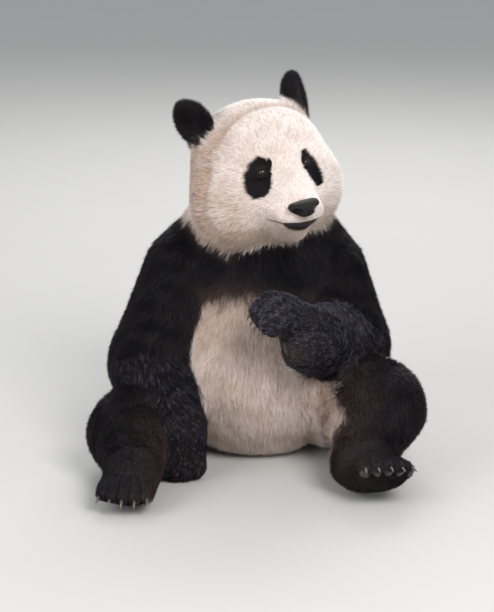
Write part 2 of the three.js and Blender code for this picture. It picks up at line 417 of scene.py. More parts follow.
class EyeForm:
    """One eye's place, its axes and the almond opening between its lids, in ball radii."""

    RADIUS = 12 * MM
    HALF_WIDTH = 0.95
    UPPER = 0.42
    LOWER = 0.30
    OUTWARD = (0.40, -0.91, 0.10)
    # How far from the ball's middle the lids lie, and the hidden skin behind the opening.
    LID = 1.13
    SOCKET = 0.84

    def __init__(self, side):
        mirror = 1.0 if side == "left" else -1.0
        self.centre = centre_of(f"eye_{side}")
        out = HEAD.turned([mirror * self.OUTWARD[0], self.OUTWARD[1], self.OUTWARD[2]])
        self.out = unit(out)
        crown = HEAD.axes[:, 2]
        self.up = unit(crown - self.out * (crown @ self.out))
        self.aside = np.cross(self.up, self.out)

    def spans(self, points):
        """Places across and up the eye, and ahead of its middle, in ball radii."""
        offset = (points - self.centre) / self.RADIUS
        return offset @ self.aside, offset @ self.up, offset @ self.out

    def gap(self, across, up):
        """How far outside the almond opening a place is. It is negative inside."""
        half = np.where(up > 0, self.UPPER, self.LOWER)
        within = np.abs(up) - half * (1 - (across / self.HALF_WIDTH) ** 2)
        beyond = np.hypot(np.maximum(np.abs(across) - self.HALF_WIDTH, 0), up)
        return np.where(np.abs(across) < self.HALF_WIDTH, within, beyond)

    def edge(self, angle):
        """The opening's edge, as places across and up."""
        across = self.HALF_WIDTH * np.cos(angle)
        half = np.where(np.sin(angle) > 0, self.UPPER, -self.LOWER)
        return across, half * np.sin(angle) ** 2

    def with_lids(self, points):
        """Skin pressed round the ball, with the opening sunk into it."""
        across, up, ahead = self.spans(points)
        offset = points - self.centre
        reach = np.linalg.norm(offset, axis=1) / self.RADIUS
        gap = self.gap(across, up)
        lid = self.LID + 0.05 * ease(0.0, 0.3, gap) - 0.05 * hump(gap - 0.62, 0.1)
        outer = np.maximum(blend(lid, reach, ease(0.35, 1.3, gap)), lid - 0.03)
        target = blend(self.SOCKET, outer, ease(-0.14, 0.0, gap))
        near = (ahead > 0.0) & (reach < 2.6)
        return np.where(near[:, None], self.centre + offset * (target / reach)[:, None], points)


class Mouth:
    """The line between the lips, and the bare dark lower lip, in the head's axes."""

    HALF_WIDTH = 58 * MM
    HEIGHT = -86 * MM
    SLOPE = -0.10
    RISE = 1.8
    FRONT = -112 * MM
    LIP_MIDDLE = 2 * MM
    LIP_HALF_WIDTH = 48 * MM
    LIP_HEIGHT = 21 * MM
    # How far each fold moves the skin, and how broad it is.
    GROOVE = (-6.0 * MM, 2.6 * MM)
    UPPER_LIP = (2.0 * MM, 6 * MM)
    LOWER_LIP = (2.2 * MM, 5 * MM)
    PHILTRUM = (-1.6 * MM, 2.2 * MM)

    def line(self, x):
        """The height of the line at x."""
        return self.HEIGHT + self.SLOPE * x + self.RISE * x * x

    def reach(self, face):
        """1 along the mouth, fading at its corners and behind them."""
        return ease(self.HALF_WIDTH, self.HALF_WIDTH - 9 * MM, np.abs(face[:, 0])) * ease(
            self.FRONT + 8 * MM, self.FRONT - 8 * MM, face[:, 1]
        )

    def lip(self, face):
        """1 on the bare lower lip."""
        below = self.line(face[:, 0]) - face[:, 2]
        width = np.clip(1 - ((face[:, 0] - self.LIP_MIDDLE) / self.LIP_HALF_WIDTH) ** 2, 0, 1) ** 0.75
        bottom = ease(2 * MM, -2 * MM, below - self.LIP_HEIGHT * width)
        return bottom * ease(-1 * MM, 1 * MM, below) * ease(0.05, 0.3, width) * self.reach(face)

    @staticmethod
    def fold(size, distance):
        """How far a fold of the given size moves the skin at a distance from its middle."""
        depth, width = size
        return depth * hump(distance, width)

    def line_mark(self, face, width):
        """1 on the line between the lips."""
        return hump(face[:, 2] - self.line(face[:, 0]), width) * self.reach(face)

    def carved(self, points, normals):
        """The line pressed in, the lower lip rolled out and the upper one hung over it."""
        face = HEAD.inside(points)
        above = face[:, 2] - self.line(face[:, 0])
        reach = self.reach(face)
        groove = self.fold(self.GROOVE, above)
        upper = self.fold(self.UPPER_LIP, above - 8 * MM)
        lower = self.fold(self.LOWER_LIP, above + 9 * MM) * self.lip(face)
        philtrum = self.fold(self.PHILTRUM, face[:, 0]) * ease(0.0, 5 * MM, above)
        philtrum = philtrum * ease(30 * MM, 20 * MM, above)
        return points + normals * (reach * (groove + upper + lower + philtrum))[:, None]


EYES = {side: EyeForm(side) for side in SIDES}
MOUTH = Mouth()
CREASE_BACK = -46 * MM
CREASE_DEPTH_CHEEK = 6 * MM
CREASE_DEPTH_BROW = 4.5 * MM


def crease_line(face):
    """How far back the fold round the face lies: over the brow, and down behind each cheek."""
    return CREASE_BACK + 0.15 * np.maximum(face[:, 0], 0) - 12 * MM * ease(20 * MM, -100 * MM, face[:, 2])


def crease(face):
    """1 in the fold across the brow, from ear to ear, and down behind each cheek."""
    brow = ease(60 * MM, 95 * MM, face[:, 2])
    cheek = 0.8 * ease(95 * MM, 120 * MM, np.abs(face[:, 0])) * ease(60 * MM, 20 * MM, face[:, 2])
    width = blend(9 * MM, 7 * MM, brow)
    return hump(face[:, 1] - crease_line(face), width) * np.maximum(brow, cheek)


def carved_face(mesh):
    """The skin with its brow fold, lids and mouth."""
    normals = vertex_array(mesh, "normal")
    points = vertex_array(mesh)
    face = HEAD.inside(points)
    depth = blend(CREASE_DEPTH_CHEEK, CREASE_DEPTH_BROW, ease(40 * MM, 90 * MM, face[:, 2]))
    points = points - normals * (depth * crease(face))[:, None]
    points = MOUTH.carved(points, normals)
    for side in SIDES:
        points = EYES[side].with_lids(points)
    return points


# ---------------------------------------------------------------- paws


class PawForm:
    """One paw's toes, taken from its claws, and the places of its pads."""

    TOE_LENGTH = 44 * MM
    PAD_RADIUS = 11 * MM
    PAD_BACK = 14 * MM
    PAD_BELOW = 13 * MM
    BAR_RADIUS = 15 * MM
    BAR_BELOW = 22 * MM
    GROOVE_WIDTH = 5 * MM

    def __init__(self, paw):
        self.foot = paw.startswith("foot")
        heart = centre_of(paw)
        tips, ways = [], []
        for node in claws_of(paw):
            claw = merged_copy(node)
            spots = np.array([vertex.co for vertex in claw.verts])
            claw.free()
            middle = spots.mean(0)
            way = np.linalg.svd(spots - middle)[2][0]
            tips.append(middle)
            ways.append(way if way @ (middle - heart) > 0 else -way)
        self.tips = np.array(tips)
        ways = np.array(ways)
        self.roots = self.tips - ways * self.TOE_LENGTH
        across = unit(self.tips[4] - self.tips[0])
        sole = unit(np.cross(across, ways.mean(0)))
        self.sole = sole if sole @ np.array([0.0, 0.5, -1.0]) > 0 else -sole
        self.toe_pads = self.tips - ways * self.PAD_BACK + self.sole * self.PAD_BELOW
        self.bar = self.roots[[0, 4]] + self.sole * self.BAR_BELOW

    @staticmethod
    def from_line(points, start, end):
        """How far each point is from a line between two places."""
        way = end - start
        share = np.clip((points - start) @ way / (way @ way), 0, 1)
        return np.linalg.norm(points - start - share[:, None] * way, axis=1)

    def nearest_toes(self, points):
        """The distances to the nearest toe and to the next one."""
        distances = [self.from_line(points, root, tip) for root, tip in zip(self.roots, self.tips)]
        ordered = np.sort(distances, axis=0)
        return ordered[0], ordered[1]

    def groove(self, points):
        """1 between two toes."""
        nearest, following = self.nearest_toes(points)
        return hump(following - nearest, self.GROOVE_WIDTH) * ease(32 * MM, 24 * MM, nearest)

    def pads(self, points):
        """1 on the bare pads of the toes and the bar behind them."""
        toes = [np.linalg.norm(points - pad, axis=1) for pad in self.toe_pads]
        toe = ease(self.PAD_RADIUS + 1.5 * MM, self.PAD_RADIUS - 1.5 * MM, np.min(toes, 0))
        if not self.foot:
            return toe
        bar = self.from_line(points, *self.bar)
        return np.maximum(toe, ease(self.BAR_RADIUS + 2 * MM, self.BAR_RADIUS - 2 * MM, bar))


PAW_FORMS = {paw: PawForm(paw) for paw in PAWS}
# The bare oval pad on the heel of the raised left hand.
HEEL_PAD = np.array([0.058, -0.150, 0.290])
HEEL_PAD_RADIUS = 11 * MM
GROOVE_DEPTH = 5.5 * MM
PAD_SWELL = 2.5 * MM


def pads_at(points):
    """1 on every bare pad."""
    heel = np.linalg.norm((points - HEEL_PAD) * np.array([1.0, 1.0, 0.65]), axis=1)
    pads = ease(HEEL_PAD_RADIUS + 2 * MM, HEEL_PAD_RADIUS - 2 * MM, heel)
    for paw in PAW_FORMS.values():
        pads = np.maximum(pads, paw.pads(points))
    return pads


def carved_paws(points, normals):
    """The skin drawn in between the toes and swelling out at the pads."""
    sunk = np.zeros(len(points))
    for paw in PAW_FORMS.values():
        sunk = np.maximum(sunk, GROOVE_DEPTH * paw.groove(points))
    return points + normals * (PAD_SWELL * pads_at(points) - sunk)[:, None]


# ---------------------------------------------------------------- markings

# Each dark patch round an eye: its middle across and up, half its width and length, and its lean.
EYE_PATCH = {
    "left": (58 * MM, 3 * MM, 17 * MM, 44 * MM, math.radians(21)),
    "right": (-57.5 * MM, 11 * MM, 24 * MM, 41.5 * MM, math.radians(17)),
}
PATCH_BACK = -70 * MM
# A dark fleck at the inner top of the right patch, and the dark hair at the root of the right ear.
FLECK = np.array([-33.0, 36.0]) * MM
EAR_ROOT = np.array([-0.128, 0.030, 0.706])
# The black band over the chest and shoulders: where its top is lowest in front, that height and the
# greatest one there, the height of its top behind, and the heights of its foot in front and behind.
BAND_MIDDLE = -0.05
BAND_TOP = 0.486
BAND_TOP_LIMIT = 0.53
BAND_TOP_BEHIND = 0.515
BAND_FOOT = 0.362
BAND_FOOT_BEHIND = 0.405
# Above this height the upper arm takes the band's edge.
SHOULDER_HEIGHT = 0.44
# The paler hair on the palm of the raised hand.
PALM_FUR = np.array([0.074, -0.165, 0.284])


def eye_patch(face, side):
    """1 in the dark patch round one eye."""
    across, up, half_width, half_length, lean = EYE_PATCH[side]
    mirror = 1.0 if side == "left" else -1.0
    x = (face[:, 0] - across) * mirror
    z = face[:, 2] - up
    along = (z * math.cos(lean) - x * math.sin(lean)) / half_length
    aside = (x * math.cos(lean) + z * math.sin(lean)) / half_width
    taper = 1.0 - 0.14 * along
    ring = np.hypot(along, aside / taper) + 0.05 * ripple(face, 14 * MM, 14)
    return ease(1.06, 0.94, ring) * (face[:, 1] < PATCH_BACK)


def fleck(face):
    """1 in the dark fleck beside the right patch."""
    distance = np.hypot((face[:, 0] - FLECK[0]) / 0.5, face[:, 2] - FLECK[1])
    return ease(12 * MM, 8 * MM, distance) * (face[:, 1] < PATCH_BACK)


def ear_root(points):
    """1 on the head's own dark hair at the root of the right ear."""
    distance = np.linalg.norm((points - EAR_ROOT) * np.array([1.0, 1.0, 0.7]), axis=1)
    return ease(30 * MM, 21 * MM, distance)


def is_kind(parts, *kinds):
    """Which vertices belong to parts of these kinds."""
    chosen = np.array([kind(part) in kinds for part in PARTS])
    return chosen[parts]


def band_edges(points):
    """The heights of the top and the foot of the black band, and 1 on the animal's rear."""
    x, y, _ = points.T
    rear = ease(0.08, 0.22, y)
    aside = x - BAND_MIDDLE
    front = BAND_TOP + np.where(aside > 0, 0.8, 1.2) * aside**2
    top = blend(np.minimum(front, BAND_TOP_LIMIT), BAND_TOP_BEHIND, rear)
    foot = BAND_FOOT - 0.06 * ease(0.0, 0.07, x) - 0.035 * ease(-0.06, -0.12, x)
    foot = blend(foot, BAND_FOOT_BEHIND, rear)
    return top, foot, rear


def shoulder_band(points):
    """1 in the black band over the chest, shoulders and withers."""
    top, foot, rear = band_edges(points)
    height = points[:, 2] + 0.008 * ripple(points, 0.09, 11) + 0.010 * ripple(points, 0.035, 17)
    soft = blend(0.05, 0.02, rear)
    return ease(top + 0.012, top - 0.012, height) * ease(foot - soft, foot + soft, height)


def leg_black(points, parts):
    """1 on the black of the hind legs, falling to 0 on the inner thigh and the hip."""
    x, y, z = points.T
    outward = np.abs(x) + 0.012 * ripple(points, 0.08, 12) + 0.07 * ease(-0.15, -0.28, y)
    hip = 0.01 + 0.08 * ease(0.23, 0.06, z) + 0.01 * ripple(points, 0.07, 15)
    black = ease(0.115, 0.215, outward) * ease(hip + 0.035, hip - 0.035, y)
    return np.where(is_kind(parts, "foot"), 1.0, black)


def black_share(points, parts, band, net):
    """The share of black at each vertex."""
    face = HEAD.inside(points)
    head = is_kind(parts, "head", "eye", "nose")
    shoulder = is_kind(parts, "upper_arm") & (points[:, 2] > SHOULDER_HEIGHT)
    black = np.where(is_kind(parts, *ARM, "ear", "nose"), 1.0, 0.0)
    black = np.where(is_kind(parts, *LEG), leg_black(points, parts), black)
    black = np.where(is_kind(parts, "neck", "trunk") | shoulder, band, black)
    black = net.spread(black, 3)
    spots = [eye_patch(face, side) for side in SIDES]
    spots += [fleck(face), ear_root(points), MOUTH.lip(face), MOUTH.line_mark(face, 2.5 * MM)]
    for spot in spots:
        black = np.maximum(black, spot * head)
    return np.clip(black, 0, 1)


def tan_and_shade_share(points, parts, band, net):
    """The share of tan at each vertex: the soiled, warm hair on the belly, neck, cheeks and palm, and painted
    shade under the chin, in the fold round the face, behind the cheeks, on the face's right side and partly
    on the belly and neck.
    """
    x, y, z = points.T
    face = HEAD.inside(points)
    top, foot, rear = band_edges(points)
    # The belly's tan is partly soil and partly painted shade.
    belly = 0.58 * ease(0.20, 0.02, y) * ease(0.42, 0.36, z)
    edges = hump(z - foot, 40 * MM) * (1 - rear)
    edges = edges + 0.9 * hump(z - top, 24 * MM) * ease(top - 0.025, top, z)
    tan = np.where(is_kind(parts, "neck", "trunk"), blend(0.22, 0.05, band) + belly + edges, 0.2)
    inner = ease(0.28, 0.18, np.abs(x)) * ease(0.10, -0.02, y)
    tan = np.where(is_kind(parts, *LEG), 0.2 + 0.75 * inner, tan)
    palm = hump(np.linalg.norm(points - PALM_FUR, axis=1), 40 * MM)
    tan = np.where(is_kind(parts, *ARM), 0.12 + 1.1 * palm, tan)
    # Painted shade: tan in the strip behind the fold round the face, fading out towards the crown.
    behind = ease(-8 * MM, 14 * MM, face[:, 1] - crease_line(face)) * ease(130 * MM, 60 * MM, face[:, 2])
    # Tan low on the face and under the chin is partly soil and partly painted shade.
    cheeks = 0.75 * ease(-45 * MM, -120 * MM, face[:, 2]) + 0.5 * behind
    # Painted shade, with some soil: more tan towards the face's right side, which is turned from the key
    # light.
    right = 0.4 * ease(20 * MM, -115 * MM, face[:, 0])
    on_head = is_kind(parts, "head", "eye", "nose")
    # The tan in the fold across the brow and behind the cheeks is painted shade.
    tan = np.where(on_head, 0.05 + cheeks + right + 0.75 * crease(face), tan)
    # Tan on the neck outside the black band is partly soil and partly painted shade.
    tan = np.where(is_kind(parts, "neck"), np.maximum(tan, blend(0.72, 0.1, band)), tan)
    return np.clip(net.spread(tan, 8) + 0.12 * ripple(points, 0.06, 13), 0, 1)


def painted_sheen_places(parts):
    """How much painted sheen the black hair takes: most on the left forearm and hand."""
    painted_sheen = np.where(is_kind(parts, "forearm", "hand"), 0.45, 0.0)
    left = [PARTS.index("forearm_left"), PARTS.index("hand_left")]
    return np.where(np.isin(parts, left), 1.0, painted_sheen)


def bare_places(points, parts):
    """1 where no hair grows: the eyes' openings, the nose and the lips."""
    face = HEAD.inside(points)
    bare = np.where(is_kind(parts, "nose"), 1.0, 0.0)
    for eye in EYES.values():
        across, up, ahead = eye.spans(points)
        ring = (ahead > 0) & (np.hypot(across, up) < 2.0)
        bare = np.maximum(bare, ease(0.16, 0.06, eye.gap(across, up)) * ring)
    head = is_kind(parts, "head", "nose")
    lips = np.maximum(MOUTH.lip(face), MOUTH.line_mark(face, 2 * MM))
    return np.maximum(bare, lips * head)


# ---------------------------------------------------------------- lie of the coat


def limb_way(part):
    """The direction from the middle of a part of a limb to the next part's, or to the claws'."""
    limb, side = part.rsplit("_", 1)
    chain = ARM if limb in ARM else LEG
    stops = [centre_of(node) for node in on_side(chain, side)]
    stops.append(np.mean([centre_of(claw) for claw in claws_of(f"{chain[2]}_{side}")], 0))
    place = chain.index(limb)
    return unit(stops[place + 1] - stops[place])


def lie_of_coat(points, normals, parts, net):
    """The direction in which the hair lies at each vertex, along the skin."""
    face = HEAD.inside(points)
    down = np.array([0.0, 0.0, -1.0])
    lie = np.zeros_like(points)
    rear = ease(-40 * MM, 60 * MM, face[:, 1])[:, None]
    from_nose = unit(points - centre_of("nose"))
    lie_head = blend(from_nose + 0.15 * down, 0.4 * from_nose + down, rear)
    middle = centre_of("trunk") * np.array([1.0, 1.0, 0.0])
    outward = unit((points - middle) * np.array([1.0, 1.0, 0.0]))
    for index, part in enumerate(PARTS):
        here = parts == index
        limb = kind(part)
        if part == "head" or limb in ("eye", "nose"):
            lie[here] = lie_head[here]
        elif limb == "ear":
            root = blend(centre_of(part), HEAD.origin, 0.35)
            lie[here] = unit(points[here] - root)
        elif part == "tail":
            lie[here] = unit(centre_of("tail") - centre_of("trunk")) + 0.7 * down
        elif part in ("neck", "trunk"):
            lie[here] = down + 0.18 * outward[here]
        else:
            lie[here] = limb_way(part)
    lie = flattened(lie, normals)
    for _ in range(12):
        lie = flattened(net.spread(lie, 2), normals)
    return lie


# ---------------------------------------------------------------- coat


class Hide:
    """The finished skin as arrays, for the coat to grow from."""

    def __init__(self, skin):
        mesh = skin.data
        mesh.calc_loop_triangles()
        self.points = vertex_array(mesh)
        self.normals = vertex_array(mesh, "normal")
        corners = np.empty(len(mesh.loop_triangles) * 3, np.int32)
        mesh.loop_triangles.foreach_get("vertices", corners)
        self.corners = corners.reshape(-1, 3)
        names = ("dark", "tan", "painted_sheen", "bare", "depth", "length", "lie", "part")
        self.values = {name: stored(mesh, name) for name in names}
        spots = self.points[self.corners]
        cross = np.cross(spots[:, 1] - spots[:, 0], spots[:, 2] - spots[:, 0])
        self.area = np.linalg.norm(cross, axis=1) / 2
        self.middle = spots.mean(1)
        self.facing = unit(cross)
        self.part = np.round(self.values["part"][self.corners[:, 0]]).astype(int)
        self.tree = BVHTree.FromPolygons(
            [Vector(point) for point in self.points], self.corners.tolist(), all_triangles=True
        )

    def settle(self, points, heights):
        """Each point moved to its height over the nearest skin."""
        placed = np.empty_like(points)
        for index, point in enumerate(points):
            spot, normal, _, _ = self.tree.find_nearest(Vector(point))
            placed[index] = spot + normal * heights[index]
        return placed


def tuft_form(bent):
    """A closed three-sided spike of unit size: its points and its faces' corners."""
    shape = bmesh.new()
    bmesh.ops.create_cone(shape, cap_ends=True, segments=3, radius1=1.0, radius2=0.0, depth=1.0)
    bmesh.ops.translate(shape, verts=shape.verts, vec=(0, 0, 0.5))
    if bent:
        everything = shape.verts[:] + shape.edges[:] + shape.faces[:]
        bmesh.ops.bisect_plane(shape, geom=everything, plane_co=(0, 0, 0.45), plane_no=(0, 0, 1))
    bmesh.ops.recalc_face_normals(shape, faces=shape.faces)
    shape.verts.index_update()
    points = np.array([vertex.co for vertex in shape.verts])
    faces = [[vertex.index for vertex in face.verts] for face in shape.faces]
    shape.free()
    return points, faces


def box_unwrap(points, facing):
    """Where each point falls on an unwrap of six flat views of the skin's own shape, side by side."""
    low = points.min(0)
    size = (points.max(0) - low).max()
    place = (points - low) / size
    axis = np.abs(facing).argmax(1)
    back = np.take_along_axis(facing, axis[:, None], 1)[:, 0] < 0
    rows = np.arange(len(points))
    first = place[rows, (axis + 1) % 3]
    second = place[rows, (axis + 2) % 3]
    margin = 0.006
    u = (axis + margin + first * (1 - 2 * margin)) / 3
    v = (back + margin + second * (1 - 2 * margin)) / 2
    return np.stack([u, v], 1)


# Every tuft's thickness to its width, its swell at the bend, how deep it is rooted, the lowest height of
# any point of it, and the size of its place on the unwrap.
TUFT_FLATNESS = 0.6
TUFT_SWELL = 1.55
ROOT_DEPTH = 0.8 * MM
LOWEST = 1.0 * MM
BAKE_PATCH = 0.003


class Roots:
    """Random places spread over chosen triangles of the skin, and the skin's values there."""

    def __init__(self, hide, faces, count, crowding, random):
        hair = 1.0 - hide.values["bare"][hide.corners[faces]].mean(1)
        fine = hide.values["length"][hide.corners[faces]].mean(1)
        weight = hide.area[faces] * np.where(hair > 0.5, hair, 0.0) * (fine.mean() / fine) ** crowding
        weight = weight * blend(0.35, 1.0, ease(4 * MM, 30 * MM, hide.middle[faces, 2]))
        total = np.cumsum(weight)
        picks = (np.arange(count) + random.random(count)) / count * total[-1]
        self.faces = faces[np.minimum(np.searchsorted(total, picks), len(faces) - 1)]
        share = random.random((count, 2))
        folded = share.sum(1) > 1
        share[folded] = 1 - share[folded]
        self.share = np.column_stack([1 - share.sum(1), share])
        self.corners = hide.corners[self.faces]

    def value(self, values):
        """The skin's numbers or vectors at each place."""
        share = self.share[:, :, None] if values.ndim > 1 else self.share
        return (values[self.corners] * share).sum(1)


def strands(dark, painted_sheen, leader, own):
    """Each tuft's own random tone from 0 to 1, partly its leader's, lower on black hair outside the painted
    sheen and raised where the painted sheen lies.
    """
    shade = blend(own, own[leader], 0.5)
    return shade * (1 - 0.35 * dark * (1 - painted_sheen)) + 0.16 * painted_sheen


def placed_form(points, ends, axes, width):
    """The corners of all the tufts: the unit spike bent along each tuft's own curve."""
    root, bend, tip = ends
    broad, thin = axes
    placed = np.empty((len(root), len(points), 3))
    for index, (x, y, z) in enumerate(points):
        spine = (1 - z) ** 2 * root + 2 * z * (1 - z) * bend + z * z * tip
        swell = 1.0 if z in (0.0, 1.0) else TUFT_SWELL
        spread = broad * x + thin * y * TUFT_FLATNESS
        placed[:, index] = spine + spread * (width * swell)[:, None]
    placed[:, :, 2] = np.maximum(placed[:, :, 2], LOWEST)
    return placed


def grow_tufts(hide, name, faces, count, form, look, seed):
    """One joined mesh of tufts that stand on the chosen triangles of the skin."""
    random = np.random.default_rng(seed)
    roots = Roots(hide, faces, count, look.crowding, random)
    at_root = {label: roots.value(values) for label, values in hide.values.items()}
    root = roots.value(hide.points)
    normal = unit(roots.value(hide.normals))
    lie = flattened(at_root["lie"], normal)
    aside = np.cross(normal, lie)
    sway = 0.22 * ripple(root, 0.05, seed + 1) + 0.16 * ripple(root, 0.018, seed + 2)
    sway = sway + random.normal(0, look.scatter, count)
    lie = unit(lie + aside * sway[:, None])
    aside = np.cross(normal, lie)
    shade = random.random(count)
    length = at_root["length"] * random.uniform(0.72, 1.12, count)
    height = at_root["depth"] * random.uniform(0.62, 1.02, count) * look.lift
    stray = random.random(count) < look.stray
    height = np.minimum(height * np.where(stray, 1.6, 1.0), 0.8 * length)
    run = np.sqrt(length**2 - height**2)
    tip = hide.settle(root + lie * run[:, None], height)
    leader, tip = clumped(root, tip, look.clump, look.pull, random)
    shade = strands(at_root["dark"], at_root["painted_sheen"], leader, shade)

    points, outlines = form
    bent = len(points) > 4
    middle = hide.settle((root + tip) / 2, height * 0.62) if bent else (root + tip) / 2
    bend = 2 * middle - (root + tip) / 2
    width = look.width * random.uniform(0.75, 1.25, count) / 2
    roll = random.normal(0, 0.35, count)
    broad = aside * np.cos(roll)[:, None] + normal * np.sin(roll)[:, None]
    thin = np.cross(unit(tip - root), broad)
    sunk = root - normal * ROOT_DEPTH
    placed = placed_form(points, (sunk, bend, tip), (broad, thin), width)

    mesh = tuft_mesh(name, placed, outlines, normal)
    for label, values in (("dark", at_root["dark"]), ("tan", at_root["tan"]), ("strand", shade)):
        store(mesh, label, np.repeat(values, len(points)))
    store(mesh, "along", np.tile(points[:, 2], count))
    patch = np.stack([points[:, 0] * 0.5, points[:, 2] - 0.5], 1) * BAKE_PATCH
    places = box_unwrap(root, hide.facing[roots.faces])[:, None, :] + patch[None, :, :]
    layer = mesh.uv_layers.new(name="OFBake")
    layer.data.foreach_set("uv", places[:, np.concatenate(outlines)].astype(np.float32).ravel())
    return mesh


def clumped(root, tip, group, pull, random):
    """Each tuft's leader, and the tips drawn together towards their leaders' in small locks."""
    leaders = random.choice(len(root), max(1, len(root) // group), replace=False)
    tree = KDTree(len(leaders))
    for place, leader in enumerate(leaders):
        tree.insert(Vector(root[leader]), place)
    tree.balance()
    nearest = np.array([leaders[tree.find(Vector(point))[1]] for point in root])
    shift = tip[nearest] - tip
    limit = np.linalg.norm(tip - root, axis=1, keepdims=True)
    distance = np.linalg.norm(shift, axis=1, keepdims=True)
    share = pull * np.minimum(1.0, limit / np.maximum(distance, 1e-6))
    return nearest, tip + shift * share


def tuft_mesh(name, placed, outlines, normal):
    """The mesh of all the tufts, shaded softly with the skin under them."""
    count, size, _ = placed.shape
    corners = (np.concatenate(outlines)[None, :] + (np.arange(count) * size)[:, None]).ravel()
    totals = np.tile([len(outline) for outline in outlines], count)
    mesh = bpy.data.meshes.new(name)
    mesh.vertices.add(count * size)
    mesh.vertices.foreach_set("co", placed.astype(np.float32).ravel())
    mesh.loops.add(len(corners))
    mesh.loops.foreach_set("vertex_index", corners.astype(np.int32))
    mesh.polygons.add(len(totals))
    starts = np.concatenate([[0], np.cumsum(totals)[:-1]])
    mesh.polygons.foreach_set("loop_start", starts.astype(np.int32))
    mesh.update(calc_edges=True)
    facing = []
    for outline in outlines:
        first, second, third = (placed[:, outline[index]] for index in range(3))
        facing.append(np.repeat(unit(np.cross(second - first, third - first))[:, None], len(outline), 1))
    facing = np.concatenate(facing, 1)
    soft = unit(facing + 0.9 * normal[:, None, :])
    mesh.normals_split_custom_set(soft.reshape(-1, 3).tolist())
    return mesh


# How one region's tufts look: their width, how much they stray to the side, how high they stand and how
# many of them stand out, how many make a lock and how strongly, and how much closer the short ones stand.
Look = namedtuple("Look", "width scatter lift stray clump pull crowding")
BODY_LOOK = Look(1.9 * MM, 0.13, 1.0, 0.10, 9, 0.33, 0.0)
FACE_LOOK = Look(1.35 * MM, 0.16, 1.0, 0.04, 7, 0.25, 1.0)
PAW_LOOK = Look(1.8 * MM, 0.2, 1.0, 0.03, 7, 0.35, 0.0)
EAR_LOOK = Look(1.5 * MM, 0.35, 2.0, 0.35, 6, 0.3, 0.0)
FACE_BACK = -50 * MM
FLANK_BACK = 0.16


def coat_plan():
    """Each coat piece: its parts, the side of a dividing plane it keeps, its tufts, look and slot."""
    white, black = "coat_white", "coat_black"
    plan = [
        ("coat_face", ["head", "eye_left", "eye_right"], "face", 49000, FACE_LOOK, white),
        ("coat_crown", ["head"], "crown", 15500, FACE_LOOK, white),
        ("coat_neck", ["neck"], None, 30000, BODY_LOOK, white),
        ("coat_trunk_front", ["trunk"], "front", 45000, BODY_LOOK, white),
        ("coat_trunk_back", ["trunk"], "back", 45000, BODY_LOOK, white),
        ("coat_tail", ["tail"], None, 4000, BODY_LOOK, white),
    ]
    for side in SIDES:
        plan += [
            (f"coat_ear_{side}", [f"ear_{side}"], None, 7000, EAR_LOOK, black),
            (f"coat_arm_{side}", on_side(ARM[:2], side), None, 30000, BODY_LOOK, black),
            (f"coat_leg_{side}", on_side(LEG[:2], side), None, 29000, BODY_LOOK, black),
            (f"coat_hand_{side}", [f"hand_{side}"], None, 9000, PAW_LOOK, black),
            (f"coat_foot_{side}", [f"foot_{side}"], None, 8000, PAW_LOOK, black),
        ]
    return plan


def chosen_faces(hide, parts, half):
    """The numbers of the skin's triangles that a coat piece grows on."""
    here = np.isin(hide.part, [PARTS.index(part) for part in parts])
    if half in ("face", "crown"):
        forward = HEAD.inside(hide.middle)[:, 1] < FACE_BACK
        here &= forward if half == "face" else ~forward
    if half in ("front", "back"):
        forward = hide.middle[:, 1] < FLANK_BACK
        here &= forward if half == "front" else ~forward
    return np.flatnonzero(here)


# ---------------------------------------------------------------- materials


def opaque(colour, factor=1.0):
    """A plain colour made lighter or darker, for a colour socket."""
    return (*(channel * factor for channel in colour), 1.0)


def feed(tree, target, source):
    """Links a result to a socket, or sets a plain value on it."""
    if isinstance(source, bpy.types.NodeSocket):
        tree.links.new(source, target)
    else:
        target.default_value = source


def add_node(tree, node_type, inputs, **settings):
    """A node with its settings, and its inputs fed by number or by name."""
    node = tree.nodes.new(node_type)
    for name, value in settings.items():
        setattr(node, name, value)
    for socket, value in inputs.items():
        feed(tree, node.inputs[socket], value)
    return node


def mixed(tree, share, first, second, mode="MIX"):
    """A colour mix node's result."""
    inputs = {0: share, 6: first, 7: second}
    return add_node(tree, "ShaderNodeMix", inputs, data_type="RGBA", blend_type=mode).outputs[2]


def maths(tree, operation, *values, clamp=False):
    """A maths node's result."""
    inputs = dict(enumerate(values))
    return add_node(tree, "ShaderNodeMath", inputs, operation=operation, use_clamp=clamp).outputs[0]


def ranged(tree, value, low, high, to_low=0.0, to_high=1.0):
    """A value stretched from one range to another, and held within it."""
    inputs = {"Value": value, "From Min": low, "From Max": high, "To Min": to_low, "To Max": to_high}
    node = add_node(tree, "ShaderNodeMapRange", inputs, interpolation_type="SMOOTHSTEP")
    return node.outputs["Result"]


def attribute(tree, name):
    """A number kept on the mesh."""
    return add_node(tree, "ShaderNodeAttribute", {}, attribute_name=name).outputs["Fac"]


def object_place(tree):
    """The place on the piece, in its own axes."""
    return tree.nodes.new("ShaderNodeTexCoord").outputs["Object"]


def noise_at(tree, scale, detail=2.0):
    """A soft random pattern."""
    inputs = {"Vector": object_place(tree), "Scale": scale, "Detail": detail}
    return add_node(tree, "ShaderNodeTexNoise", inputs).outputs["Fac"]


def new_group(name, inputs, outputs):
    """An empty shader node group with named sockets, and its two ends."""
    tree = bpy.data.node_groups.new(name, "ShaderNodeTree")
    for label, socket_type, value in inputs:
        socket = tree.interface.new_socket(name=label, in_out="INPUT", socket_type=socket_type)
        socket.default_value = value
    for label, socket_type in outputs:
        tree.interface.new_socket(name=label, in_out="OUTPUT", socket_type=socket_type)
    return tree, tree.nodes.new("NodeGroupInput"), tree.nodes.new("NodeGroupOutput")


def placed_group(tree, group, values):
    """The results of a node group with its inputs set or linked."""
    return add_node(tree, "ShaderNodeGroup", values, node_tree=group).outputs


